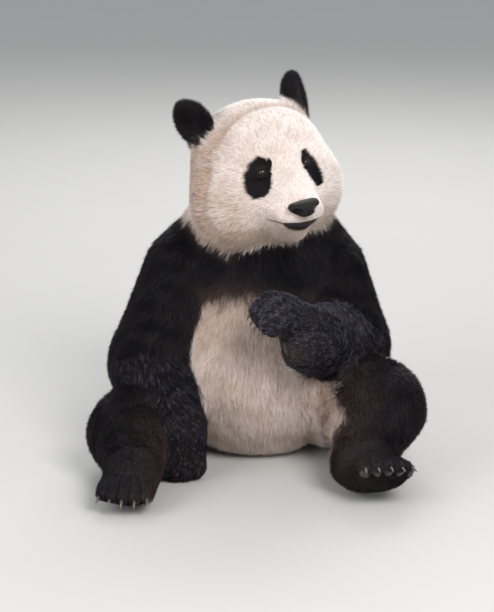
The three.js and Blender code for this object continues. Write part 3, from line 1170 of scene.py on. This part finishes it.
def pelt_group(colours):
    """The colour and roughness of hair, from its share of black and tan, its length and its strand."""
    number, colour = "NodeSocketFloat", "NodeSocketColor"
    shares = {"Black Share": 0.0, "Tan And Shade Share": 0.0, "Along": 1.0, "Strand": 0.5}
    inputs = [(name, number, value) for name, value in shares.items()]
    inputs += [(name, colour, opaque(value)) for name, value in colours.items()]
    tree, start, end = new_group("pelt colour", inputs, [("Colour", colour), ("Roughness", number)])
    given = start.outputs
    along = ranged(tree, given["Along"], 0.0, 0.75)

    # Pale hair, darker towards its root as painted shade deep in the coat, soiled in patches, and tanned
    # where the tan-and-shade share is high, most at its root.
    soil_and_shade = maths(tree, "MULTIPLY_ADD", noise_at(tree, 14.0, 4.0), 0.5, -0.25)
    soil_and_shade = maths(tree, "ADD", given["Tan And Shade Share"], soil_and_shade, clamp=True)
    # The tan mix is strongest at the root: painted shade deep in the coat.
    at_root = maths(tree, "MULTIPLY_ADD", given["Along"], -0.35, 1.0)
    soil_and_shade = maths(tree, "MULTIPLY", soil_and_shade, at_root, clamp=True)
    pale = mixed(tree, along, given["Pale Root"], given["Pale Tip"])
    pale = mixed(tree, soil_and_shade, pale, given["Tan"])

    # Black hair, darker at its root as painted shade, with painted sheen on bright strands and browned
    # places.
    black = mixed(tree, along, given["Black Root"], given["Black Tip"])
    # Painted sheen: bright strands of black hair take a bluish colour towards their tips, as if catching the
    # light.
    painted_sheen = maths(tree, "MULTIPLY", ranged(tree, given["Strand"], 0.5, 0.95, 0.0, 0.8), along)
    black = mixed(tree, painted_sheen, black, given["Painted Sheen Black"])
    # Brown goes where the tan-and-shade share is high, so beside real brown hair it also carries that share's
    # painted shade on the head.
    browned = maths(tree, "MULTIPLY", given["Tan And Shade Share"], 0.6)
    black = mixed(tree, maths(tree, "MULTIPLY", browned, along), black, given["Brown Black"])

    # Whole strands are black or pale, so that the edge of a marking is ragged.
    jitter = maths(tree, "MULTIPLY_ADD", given["Strand"], 0.56, -0.28)
    share = ranged(tree, maths(tree, "ADD", given["Black Share"], jitter), 0.3, 0.7)
    bright = ranged(tree, given["Strand"], 0.0, 1.0, 0.82, 1.1)
    grey = add_node(tree, "ShaderNodeCombineColor", {"Red": bright, "Green": bright, "Blue": bright})
    whole = mixed(tree, share, pale, black)
    feed(tree, end.inputs["Colour"], mixed(tree, 1.0, whole, grey.outputs["Color"], "MULTIPLY"))
    feed(tree, end.inputs["Roughness"], ranged(tree, share, 0.0, 1.0, 0.75, 0.5))
    return tree


def grain_group():
    """The fine pebbles of bare skin, as a height and a mask of the creases between them."""
    number = "NodeSocketFloat"
    outputs = [("Height", number), ("Crease", number)]
    tree, start, end = new_group("skin grain", [("Scale", number, 900.0)], outputs)
    inputs = {"Vector": object_place(tree), "Scale": start.outputs["Scale"]}
    cells = add_node(tree, "ShaderNodeTexVoronoi", inputs, feature="DISTANCE_TO_EDGE")
    height = ranged(tree, cells.outputs["Distance"], 0.0, 0.25)
    feed(tree, end.inputs["Height"], height)
    feed(tree, end.inputs["Crease"], maths(tree, "SUBTRACT", 1.0, height))
    return tree


SHADER_SOCKETS = {
    "roughness": "Roughness",
    "specular": "Specular IOR Level",
    "sheen": "Sheen Weight",
    "sheen_roughness": "Sheen Roughness",
    "sheen_tint": "Sheen Tint",
    "coat": "Coat Weight",
    "coat_roughness": "Coat Roughness",
}


def new_material(name, **uniform):
    """A material, its node tree and its Principled shader, with the shader's plain values."""
    material = bpy.data.materials.new(name)
    material.use_nodes = True
    shader = material.node_tree.nodes["Principled BSDF"]
    for socket, value in uniform.items():
        shader.inputs[SHADER_SOCKETS[socket]].default_value = value
    return material, material.node_tree, shader


def bumped(tree, shader, height, strength, distance):
    """Gives a shader fine relief from a height."""
    inputs = {"Strength": strength, "Distance": distance, "Height": height}
    feed(tree, shader.inputs["Normal"], add_node(tree, "ShaderNodeBump", inputs).outputs["Normal"])


def pelt_at(tree, group, along, strand):
    """The colour and roughness of the hair at the black and tan shares kept on the mesh."""
    shares = {"Black Share": attribute(tree, "dark"), "Tan And Shade Share": attribute(tree, "tan")}
    return placed_group(tree, group, {**shares, "Along": along, "Strand": strand})


def coat_material(group):
    """Hair: dull, with a soft sheen."""
    material, tree, shader = new_material(
        "coat", specular=0.07, sheen=0.02, sheen_roughness=0.5, sheen_tint=(0.75, 0.78, 1.0, 1.0)
    )
    pelt = pelt_at(tree, group, attribute(tree, "along"), attribute(tree, "strand"))
    feed(tree, shader.inputs["Base Color"], pelt["Colour"])
    feed(tree, shader.inputs["Roughness"], pelt["Roughness"])
    return material


def skin_material(group, grain, bare_colour, pad_colour):
    """Skin that shows the hair's colours near its root between the tufts, darker there as painted shade under
    the coat, and dark grained skin where it is bare.
    """
    material, tree, shader = new_material("skin", specular=0.28)
    bare = attribute(tree, "bare")
    # Between the tufts the skin takes the hair's colour near its root: painted shade under the coat.
    pelt = pelt_at(tree, group, 0.3, noise_at(tree, 260.0))
    pebbles = placed_group(tree, grain, {"Scale": 700.0})
    hide = mixed(tree, attribute(tree, "pad"), opaque(bare_colour), opaque(pad_colour))
    # Painted shade in the creases between the skin's pebbles.
    creases = maths(tree, "MULTIPLY", pebbles["Crease"], 0.7)
    leather = mixed(tree, creases, hide, opaque(CREASE_SHADE_COLOUR))
    feed(tree, shader.inputs["Base Color"], mixed(tree, bare, pelt["Colour"], leather))
    feed(tree, shader.inputs["Roughness"], ranged(tree, bare, 0.0, 1.0, 0.8, 0.42))
    bumped(tree, shader, pebbles["Height"], 0.35, 0.4 * MM)
    return material


PUPIL_COLOUR = (0.002, 0.002, 0.002)
# The eye's rings: how far each lies from the middle of the pupil, as a share of a quarter turn.
EYE_RINGS = (
    (0.21, PUPIL_COLOUR),
    (0.25, (0.022, 0.013, 0.010)),
    (0.42, (0.014, 0.009, 0.007)),
    (0.48, (0.006, 0.004, 0.004)),
    (0.62, (0.03, 0.024, 0.022)),
    (1.0, (0.02, 0.014, 0.012)),
)
# Painted shade: the darkest places, in the creases between pebbles of skin, in those on the nose, and in the
# nostrils.
CREASE_SHADE_COLOUR = (0.006, 0.005, 0.006)
NOSE_CREASE_SHADE_COLOUR = (0.004, 0.003, 0.004)
NOSTRIL_SHADE_COLOUR = (0.001, 0.001, 0.001)


def eye_material():
    """A wet eye: a black pupil in a dark brown iris, and a near-black rim."""
    material, tree, shader = new_material("eye", roughness=0.12, specular=0.25, coat=0.4, coat_roughness=0.03)
    ramp = add_node(tree, "ShaderNodeValToRGB", {"Fac": attribute(tree, "turn")})
    stops = ramp.color_ramp.elements
    stops.remove(stops[1])
    stops[0].color = opaque(PUPIL_COLOUR)
    for position, colour in EYE_RINGS:
        stops.new(position).color = opaque(colour)
    feed(tree, shader.inputs["Base Color"], ramp.outputs["Color"])
    return material


def leather_material(name, grain, colour, scale, roughness, depth):
    """Bare dark skin of the nose and eyelids, with painted shade in its creases and nostrils."""
    material, tree, shader = new_material(name, specular=0.22)
    pebbles = placed_group(tree, grain, {"Scale": scale})
    shade = mixed(tree, noise_at(tree, 60.0, 3.0), opaque(colour), opaque(colour, 1.9))
    # Painted shade in the creases between the pebbles.
    shade = mixed(tree, pebbles["Crease"], shade, opaque(NOSE_CREASE_SHADE_COLOUR))
    # Painted shade: the nostrils and the slits beside them are painted near-black.
    shade = mixed(tree, attribute(tree, "hollow"), shade, opaque(NOSTRIL_SHADE_COLOUR))
    feed(tree, shader.inputs["Base Color"], shade)
    wet = ranged(tree, noise_at(tree, 90.0), 0.3, 0.7, roughness - 0.08, roughness + 0.1)
    feed(tree, shader.inputs["Roughness"], wet)
    bumped(tree, shader, pebbles["Height"], 0.5, depth)
    return material


def claw_material():
    """Horn, dark at the root and paler at its worn tip."""
    material, tree, shader = new_material("claw")
    streaks = noise_at(tree, 420.0, 3.0)
    shade = mixed(tree, attribute(tree, "along"), opaque((0.02, 0.016, 0.014)), opaque((0.19, 0.15, 0.11)))
    shade = mixed(tree, ranged(tree, streaks, 0.4, 0.7, 0.0, 0.5), shade, opaque((0.03, 0.025, 0.02)))
    feed(tree, shader.inputs["Base Color"], shade)
    feed(tree, shader.inputs["Roughness"], ranged(tree, streaks, 0.3, 0.7, 0.28, 0.42))
    bumped(tree, shader, streaks, 0.2, 0.3 * MM)
    return material


def floor_material(colour):
    """A plain, dull floor."""
    material, tree, shader = new_material("floor", roughness=0.85)
    shade = mixed(tree, noise_at(tree, 3.0), opaque(colour), opaque(colour, 0.96))
    feed(tree, shader.inputs["Base Color"], shade)
    return material


# ---------------------------------------------------------------- settings


def length_property(name, description, default):
    """A setting in metres."""
    return bpy.props.FloatProperty(name=name, description=description, default=default, unit="LENGTH")


def colour_property(name, description, default):
    """A setting that is a colour."""
    return bpy.props.FloatVectorProperty(
        name=name, description=description, default=default, subtype="COLOR", size=3, min=0.0, max=1.0
    )


class PANDA_PG_skin(bpy.types.PropertyGroup):
    """Sizes and colours of the skin."""

    voxel: length_property("Mesh size", "Side of the squares that the skin is made of", 6 * MM)
    grow: length_property("Growth", "How far the solids grow so that they join", 1.2 * MM)
    rounds: bpy.props.IntProperty(name="Smoothing", description="Rounds of smoothing", default=70)
    fold: length_property("Folds", "How deep the skin folds in between the limbs", 9 * MM)
    bare: colour_property("Lips", "Colour of the bare lips", (0.016, 0.011, 0.013))
    pad: colour_property("Pads", "Colour of the bare pads of the paws", (0.08, 0.066, 0.063))


class PANDA_PG_coat(bpy.types.PropertyGroup):
    """Colours and amount of the coat."""

    amount: bpy.props.FloatProperty(
        name="Amount", description="Share of the full number of tufts", default=1.0, subtype="FACTOR"
    )
    # Each root colour is darker than its tip as painted shade deep in the coat; the pale root's tan is partly
    # the hair's own.
    pale_root: colour_property("Pale root", "Pale hair at its root", (0.52, 0.38, 0.30))
    pale_tip: colour_property("Pale tip", "Pale hair at its tip", (0.86, 0.80, 0.765))
    # The colour of soiled pale hair, also used for painted shade under the chin, round the face and on the
    # belly and neck.
    tan: colour_property("Tan", "Soiled pale hair", (0.39, 0.262, 0.19))
    black_root: colour_property("Black root", "Black hair at its root", (0.003, 0.0025, 0.003))
    black_tip: colour_property("Black tip", "Black hair at its tip", (0.0055, 0.0055, 0.0085))
    # A bluish colour painted on bright strands of black hair as sheen.
    painted_sheen: colour_property("Painted sheen black", "Black hair that catches the light", (0.100, 0.097, 0.136))
    # Brown black follows the tan-and-shade share, so on the head it is partly painted shade.
    brown: colour_property("Brown black", "Black hair that the sun has browned", (0.075, 0.047, 0.038))


class PANDA_PG_organs(bpy.types.PropertyGroup):
    """Sizes and colours of the eyes and nose."""

    rim: length_property("Lid edge", "Thickness of the bare edge of each eyelid", 1.3 * MM)
    cornea: length_property("Cornea", "How far the front of the eye bulges", 1.0 * MM)
    lid: colour_property("Lids", "Colour of the bare edge of each eyelid", (0.016, 0.013, 0.015))
    nose: colour_property("Nose", "Colour of the bare nose", (0.0060, 0.0042, 0.0045))
    nostril: length_property("Nostril", "Depth of each nostril", 12 * MM)


class PANDA_PG_stage(bpy.types.PropertyGroup):
    """The camera, lights and floor."""

    distance: length_property("Distance", "From the camera to the point it looks at", 5.0)
    elevation: bpy.props.FloatProperty(
        name="Elevation", description="How far the camera looks down", default=math.radians(15),
        subtype="ANGLE",
    )
    height: length_property("Picture height", "Height of the view at the point looked at", 1.3158)
    target: bpy.props.FloatVectorProperty(
        name="Target", description="The point that the camera looks at", default=(-0.0189, 0.1329, 0.306),
        subtype="TRANSLATION",
    )
    floor: colour_property("Floor", "Colour of the floor", (0.50, 0.49, 0.47))


# ---------------------------------------------------------------- operators


def shared_group(context):
    """The coat's colour group, built once."""
    group = bpy.data.node_groups.get("pelt colour")
    if group:
        return group
    coat = context.scene.panda_coat
    return pelt_group({
        "Pale Root": coat.pale_root,
        "Pale Tip": coat.pale_tip,
        "Tan": coat.tan,
        "Black Root": coat.black_root,
        "Black Tip": coat.black_tip,
        "Painted Sheen Black": coat.painted_sheen,
        "Brown Black": coat.brown,
    })


def shared_grain():
    """The grain of bare skin, built once."""
    return bpy.data.node_groups.get("skin grain") or grain_group()


class PANDA_OT_skin(bpy.types.Operator):
    """Fuse the solids of flesh into one skin with lids, lips and folds"""

    bl_idname = "panda.skin"
    bl_label = "Skin"

    def execute(self, context):
        settings = context.scene.panda_skin
        finder = PartFinder()
        mesh = fused_skin(settings.voxel, settings.grow)
        parts = finder.parts_at(vertex_array(mesh))
        move_vertices(mesh, softened(mesh, parts, settings.rounds))
        points, normals = vertex_array(mesh), vertex_array(mesh, "normal")
        depth = Net(mesh).spread(coat_sizes(points, parts)[0], 10)
        store(mesh, "outer", points)
        move_vertices(mesh, points - normals * depth[:, None])
        refine(mesh, on_face_or_toes)
        refine(mesh, near_features)
        net = Net(mesh)
        soft = ease(-30 * MM, -60 * MM, HEAD.inside(vertex_array(mesh))[:, 1])
        move_vertices(mesh, net.spread(vertex_array(mesh), 4, 0.5 * soft))
        outer = stored(mesh, "outer")
        parts = finder.parts_at(outer)
        folds = net.spread(Limbs().folds(outer), 2)
        sunk = settings.fold * folds[:, None] * vertex_array(mesh, "normal")
        move_vertices(mesh, vertex_array(mesh) - sunk)
        move_vertices(mesh, carved_face(mesh))
        move_vertices(mesh, carved_paws(vertex_array(mesh), vertex_array(mesh, "normal")))
        self.keep_values(mesh, parts, net)
        material = skin_material(shared_group(context), shared_grain(), settings.bare, settings.pad)
        add_piece("skin", mesh, material, FLESH)
        return {"FINISHED"}

    def keep_values(self, mesh, parts, net):
        """Stores what the coat and the material need at each vertex."""
        points, normals = vertex_array(mesh), vertex_array(mesh, "normal")
        band = shoulder_band(points)
        depth, length = coat_sizes(points, parts)
        store(mesh, "dark", black_share(points, parts, band, net))
        store(mesh, "tan", tan_and_shade_share(points, parts, band, net))
        store(mesh, "painted_sheen", net.spread(painted_sheen_places(parts), 12))
        pad = pads_at(points) * is_kind(parts, "hand", "foot", "forearm")
        store(mesh, "pad", pad)
        store(mesh, "bare", np.maximum(bare_places(points, parts), pad))
        store(mesh, "depth", net.spread(depth, 6))
        store(mesh, "length", net.spread(length, 6))
        store(mesh, "lie", lie_of_coat(points, normals, parts, net))
        store(mesh, "part", parts.astype(float))


# Boxes in the head's axes, round the face and the mouth, where the skin is made of smaller squares.
FACE_REGION = np.array([(-150, -1000, -150), (150, -45, 110)]) * MM
MOUTH_REGION = np.array([(-62, -1000, -118), (62, -100, -62)]) * MM
EYE_REGION = 30 * MM
TOE_REGION = 34 * MM


def within(spots, region):
    """Which places lie in a box."""
    low, high = region
    return ((spots > low) & (spots < high)).all(1)


def on_face_or_toes(spots):
    """Which places lie on the face or near the toes."""
    chosen = within(HEAD.inside(spots), FACE_REGION)
    for paw in PAW_FORMS.values():
        chosen |= paw.nearest_toes(spots)[0] < TOE_REGION
    return chosen


def near_features(spots):
    """Which places lie close to the eyes or mouth."""
    spots = HEAD.inside(spots)
    chosen = within(spots, MOUTH_REGION)
    for eye in (HEAD.EYE_LEFT, HEAD.EYE_RIGHT):
        chosen |= np.linalg.norm(spots - eye, axis=1) < EYE_REGION
    return chosen


class PANDA_OT_eyes(bpy.types.Operator):
    """Set a wet, dark eye and the bare edge of its lids in each socket"""

    bl_idname = "panda.eyes"
    bl_label = "Eyes"

    # The thickness of the ring that each lid's roll is shaped from, and the roll's share of the set thickness
    # above and below the eye.
    RING = 0.1
    UPPER_ROLL = 1.25
    LOWER_ROLL = 0.9

    def execute(self, context):
        settings = context.scene.panda_organs
        wet = eye_material()
        rim = leather_material("eyelid", shared_grain(), settings.lid, 1500.0, 0.35, 0.2 * MM)
        for side, eye in EYES.items():
            mesh = self.ball(eye, settings.cornea)
            add_piece(f"eyeball_{side}", mesh, wet, [f"eye_{side}"])
            add_piece(f"eyelid_{side}", self.lid(eye, settings.rim), rim)
        return {"FINISHED"}

    def ball(self, eye, cornea):
        """The eyeball, with its cornea ahead."""
        shape = bmesh.new()
        bmesh.ops.create_uvsphere(shape, u_segments=40, v_segments=28, radius=eye.RADIUS)
        axes = Matrix(np.stack([eye.aside, eye.up, eye.out], 1).tolist())
        turns = []
        for vertex in shape.verts:
            turn = math.acos(max(-1.0, min(1.0, vertex.co.z / eye.RADIUS)))
            turns.append(turn / math.pi * 2)
            vertex.co.z += cornea * max(0.0, 1 - (turn / 0.75) ** 2)
            vertex.co = axes @ vertex.co + Vector(eye.centre)
        mesh = piece_mesh(shape, "eyeball")
        store(mesh, "turn", np.clip(np.array(turns), 0, 1))
        return mesh

    def lid(self, eye, thickness):
        """A thin roll of skin round the opening between the lids."""
        shape = bmesh.new()
        ring = bmesh.ops.create_circle(shape, segments=10, radius=self.RING)
        bmesh.ops.rotate(shape, verts=shape.verts, matrix=Matrix.Rotation(math.pi / 2, 3, "X"))
        bmesh.ops.translate(shape, verts=shape.verts, vec=(1, 0, 0))
        bmesh.ops.spin(shape, geom=ring["verts"] + shape.edges[:], axis=(0, 0, 1), cent=(0, 0, 0),
                       angle=2 * math.pi, steps=72, use_merge=True)
        for vertex in shape.verts:
            angle = math.atan2(vertex.co.y, vertex.co.x)
            outward = (math.hypot(vertex.co.x, vertex.co.y) - 1) / self.RING
            ahead = vertex.co.z / self.RING
            across, up = eye.edge(angle)
            thick = thickness * (self.UPPER_ROLL if angle > 0 else self.LOWER_ROLL) / eye.RADIUS
            across = across * (1 + outward * thick)
            up = up + math.copysign(outward * thick, up if abs(up) > 1e-6 else math.sin(angle))
            depth = math.sqrt(max(0.02, 1.03 - min(1.0, across**2 + up**2)))
            place = eye.centre + eye.RADIUS * (across * eye.aside + up * eye.up + (depth + 0.04) * eye.out)
            vertex.co = Vector(place + eye.out * ahead * thickness)
        return piece_mesh(shape, "eyelid")


class PANDA_OT_nose(bpy.types.Operator):
    """Shape the broad bare nose with its nostrils and the groove under them"""

    bl_idname = "panda.nose"
    bl_label = "Nose"

    HALF_WIDTH = 34 * MM
    HALF_DEPTH = 18 * MM
    HALF_HEIGHT = 16 * MM
    # How far out each nostril and the slit beside it lie, as shares of the nose's half width.
    HOLE = 0.62
    SLIT = 0.82
    # How far the wing round each nostril stands out, and how deep the groove under the nose is.
    WING = 1.6 * MM
    GROOVE = 2.6 * MM

    def execute(self, context):
        settings = context.scene.panda_organs
        shape = bmesh.new()
        bmesh.ops.create_icosphere(shape, subdivisions=6, radius=1.0)
        ball = np.array([vertex.co for vertex in shape.verts])
        placed, hollow = self.shaped(ball, settings.nostril)
        middle = HEAD.inside(centre_of("nose")[None])[0]
        for vertex, place in zip(shape.verts, HEAD.outside(placed + middle)):
            vertex.co = Vector(place)
        mesh = piece_mesh(shape, "nose")
        store(mesh, "hollow", hollow)
        leather = leather_material("nose leather", shared_grain(), settings.nose, 1000.0, 0.40, 0.5 * MM)
        add_piece("nose_leather", mesh, leather, ["nose"])
        return {"FINISHED"}

    def shaped(self, ball, nostril):
        """The nose from a ball: flat above, narrow below, with a nostril at each side."""
        x, y, z = ball.T
        full = 1 / (np.abs(x) ** 4 + np.abs(y) ** 3 + np.abs(z) ** 4) ** (1 / 4)
        x, y, z = x * full, y * full, z * full
        narrow = blend(1.0, 0.40, ease(0.35, -1.05, z))
        wide = x * narrow
        top = z + 0.06 * ease(0.3, 1.0, np.abs(x)) * (z > 0)
        round_front = y + 0.30 * wide**2 * (y < 0)
        out = np.column_stack([wide * self.HALF_WIDTH, round_front * self.HALF_DEPTH, top * self.HALF_HEIGHT])
        front = ease(0.2, -0.5, y)
        from_hole = np.abs(wide) - self.HOLE
        hole_x = from_hole / 0.21
        hole_z = (z + 0.08 - 0.45 * from_hole) / 0.36
        hole = np.exp(-((hole_x**2 + hole_z**2) ** 1.5))
        out[:, 1] += nostril * hole * front
        slit = np.exp(-(((np.abs(wide) - self.SLIT) / 0.14) ** 2 + ((z + 0.22) / 0.12) ** 2))
        out[:, 1] += 0.45 * nostril * slit * front
        wing = hump(np.hypot(hole_x, hole_z) - 1.55, 0.5) * front
        out[:, 1] -= self.WING * wing
        groove = hump(x, 0.07) * ease(0.15, -0.5, z) * front
        out[:, 1] += self.GROOVE * groove
        # The second result marks where the painted shade of the nostrils and slits goes.
        return out, np.clip(1.3 * np.maximum(hole, 0.8 * slit) * front, 0, 1)


class PANDA_OT_claws(bpy.types.Operator):
    """Round each claw and give it the look of horn"""

    bl_idname = "panda.claws"
    bl_label = "Claws"

    def execute(self, context):
        horn = claw_material()
        for paw in PAWS:
            nodes = claws_of(paw)
            heart = centre_of(paw)
            whole = bmesh.new()
            along = []
            for node in nodes:
                claw = merged_copy(node)
                claw.verts.ensure_lookup_table()
                reach = np.array([np.linalg.norm(np.array(vertex.co) - heart) for vertex in claw.verts])
                along += list((reach - reach.min()) / (reach.max() - reach.min()))
                spare = bpy.data.meshes.new("claw")
                claw.to_mesh(spare)
                claw.free()
                whole.from_mesh(spare)
                bpy.data.meshes.remove(spare)
            mesh = piece_mesh(whole, f"claws_{paw}")
            store(mesh, "along", np.array(along))
            piece = add_piece(f"claws_{paw}", mesh, horn, nodes)
            rounding = piece.modifiers.new("rounding", "SUBSURF")
            rounding.levels = 2
            rounding.render_levels = 2
        return {"FINISHED"}


class PANDA_OT_coat(bpy.types.Operator):
    """Grow the coat's tufts along the lie of the hair"""

    bl_idname = "panda.coat"
    bl_label = "Coat"

    def execute(self, context):
        amount = context.scene.panda_coat.amount
        hide = Hide(bpy.data.objects["skin"])
        hair = coat_material(shared_group(context))
        forms = {bent: tuft_form(bent) for bent in (False, True)}
        for seed, (name, parts, half, count, look, slot) in enumerate(coat_plan(), 100):
            faces = chosen_faces(hide, parts, half)
            form = forms[half == "crown"]
            mesh = grow_tufts(hide, name, faces, int(count * amount), form, look, seed * 10)
            add_piece(name, mesh, hair)
        return {"FINISHED"}


class PANDA_OT_stage(bpy.types.Operator):
    """Set up the camera, the lights and the floor"""

    bl_idname = "panda.stage"
    bl_label = "Stage"

    # Each light: its name, place, width, power and colour.
    LIGHTS = (
        ("key", (1.5, -3.2, 3.1), 1.9, 185.0, (1.0, 0.99, 0.98)),
        ("fill", (-3.0, -2.8, 2.2), 2.6, 105.0, (0.96, 0.98, 1.0)),
        ("back", (0.4, 3.2, 3.0), 2.4, 95.0, (1.0, 1.0, 1.0)),
    )

    SKY_COLOUR = (0.92, 0.95, 1.0)
    SKY_STRENGTH = 0.62
    FILM_HEIGHT = 36.0
    FLOOR_SIZE = 20.0

    def execute(self, context):
        settings = context.scene.panda_stage
        context.scene.view_settings.view_transform = "Standard"
        self.camera(context, settings)
        target = Vector(settings.target)
        for name, place, width, power, colour in self.LIGHTS:
            data = bpy.data.lights.new(name, "AREA")
            data.energy = power
            data.size = width
            data.color = colour
            lamp = bpy.data.objects.new(name, data)
            lamp.location = place
            lamp.rotation_euler = (target - lamp.location).to_track_quat("-Z", "Y").to_euler()
            context.scene.collection.objects.link(lamp)
        world = bpy.data.worlds.new("soft sky")
        world.use_nodes = True
        sky = world.node_tree.nodes["Background"]
        sky.inputs["Color"].default_value = opaque(self.SKY_COLOUR)
        sky.inputs["Strength"].default_value = self.SKY_STRENGTH
        context.scene.world = world
        self.floor(context, settings)
        return {"FINISHED"}

    def camera(self, context, settings):
        """The camera, at the viewing distance and angle."""
        data = bpy.data.cameras.new("camera")
        data.sensor_fit = "VERTICAL"
        data.sensor_height = self.FILM_HEIGHT
        data.lens = self.FILM_HEIGHT * settings.distance / settings.height
        data.clip_end = 100.0
        camera = bpy.data.objects.new("camera", data)
        back = Vector((0, -math.cos(settings.elevation), math.sin(settings.elevation)))
        camera.location = Vector(settings.target) + back * settings.distance
        camera.rotation_euler = (-back).to_track_quat("-Z", "Y").to_euler()
        context.scene.collection.objects.link(camera)
        context.scene.camera = camera

    def floor(self, context, settings):
        """A broad plain floor under the animal."""
        shape = bmesh.new()
        bmesh.ops.create_grid(shape, x_segments=1, y_segments=1, size=self.FLOOR_SIZE)
        mesh = bpy.data.meshes.new("floor")
        shape.to_mesh(mesh)
        shape.free()
        mesh.materials.append(floor_material(settings.floor))
        floor = bpy.data.objects.new("floor", mesh)
        context.scene.collection.objects.link(floor)


class PANDA_PT_panel(bpy.types.Panel):
    """Lists the steps that build the animal"""

    bl_label = "Giant Panda"
    bl_idname = "PANDA_PT_panel"
    bl_space_type = "VIEW_3D"
    bl_region_type = "UI"
    bl_category = "Panda"

    def draw(self, context):
        for step in OPERATORS:
            self.layout.operator(step.bl_idname)
        for name in SETTINGS:
            settings = getattr(context.scene, name)
            box = self.layout.box()
            for field in settings.bl_rna.properties.keys():
                if field not in ("rna_type", "name"):
                    box.prop(settings, field)


OPERATORS = (PANDA_OT_skin, PANDA_OT_eyes, PANDA_OT_nose, PANDA_OT_claws, PANDA_OT_coat, PANDA_OT_stage)
SETTINGS = {
    "panda_skin": PANDA_PG_skin,
    "panda_coat": PANDA_PG_coat,
    "panda_organs": PANDA_PG_organs,
    "panda_stage": PANDA_PG_stage,
}


def register():
    """Adds the settings, the steps and the panel."""
    for item in (*SETTINGS.values(), *OPERATORS, PANDA_PT_panel):
        bpy.utils.register_class(item)
    for name, group in SETTINGS.items():
        setattr(bpy.types.Scene, name, bpy.props.PointerProperty(type=group))


def unregister():
    """Takes them away again."""
    for name in SETTINGS:
        delattr(bpy.types.Scene, name)
    for item in reversed((*SETTINGS.values(), *OPERATORS, PANDA_PT_panel)):
        bpy.utils.unregister_class(item)


def main():
    """Builds the whole animal and its stage."""
    register()
    bpy.ops.panda.skin()
    bpy.ops.panda.eyes()
    bpy.ops.panda.nose()
    bpy.ops.panda.claws()
    bpy.ops.panda.coat()
    bpy.ops.panda.stage()


if __name__ == "__main__":
    main()
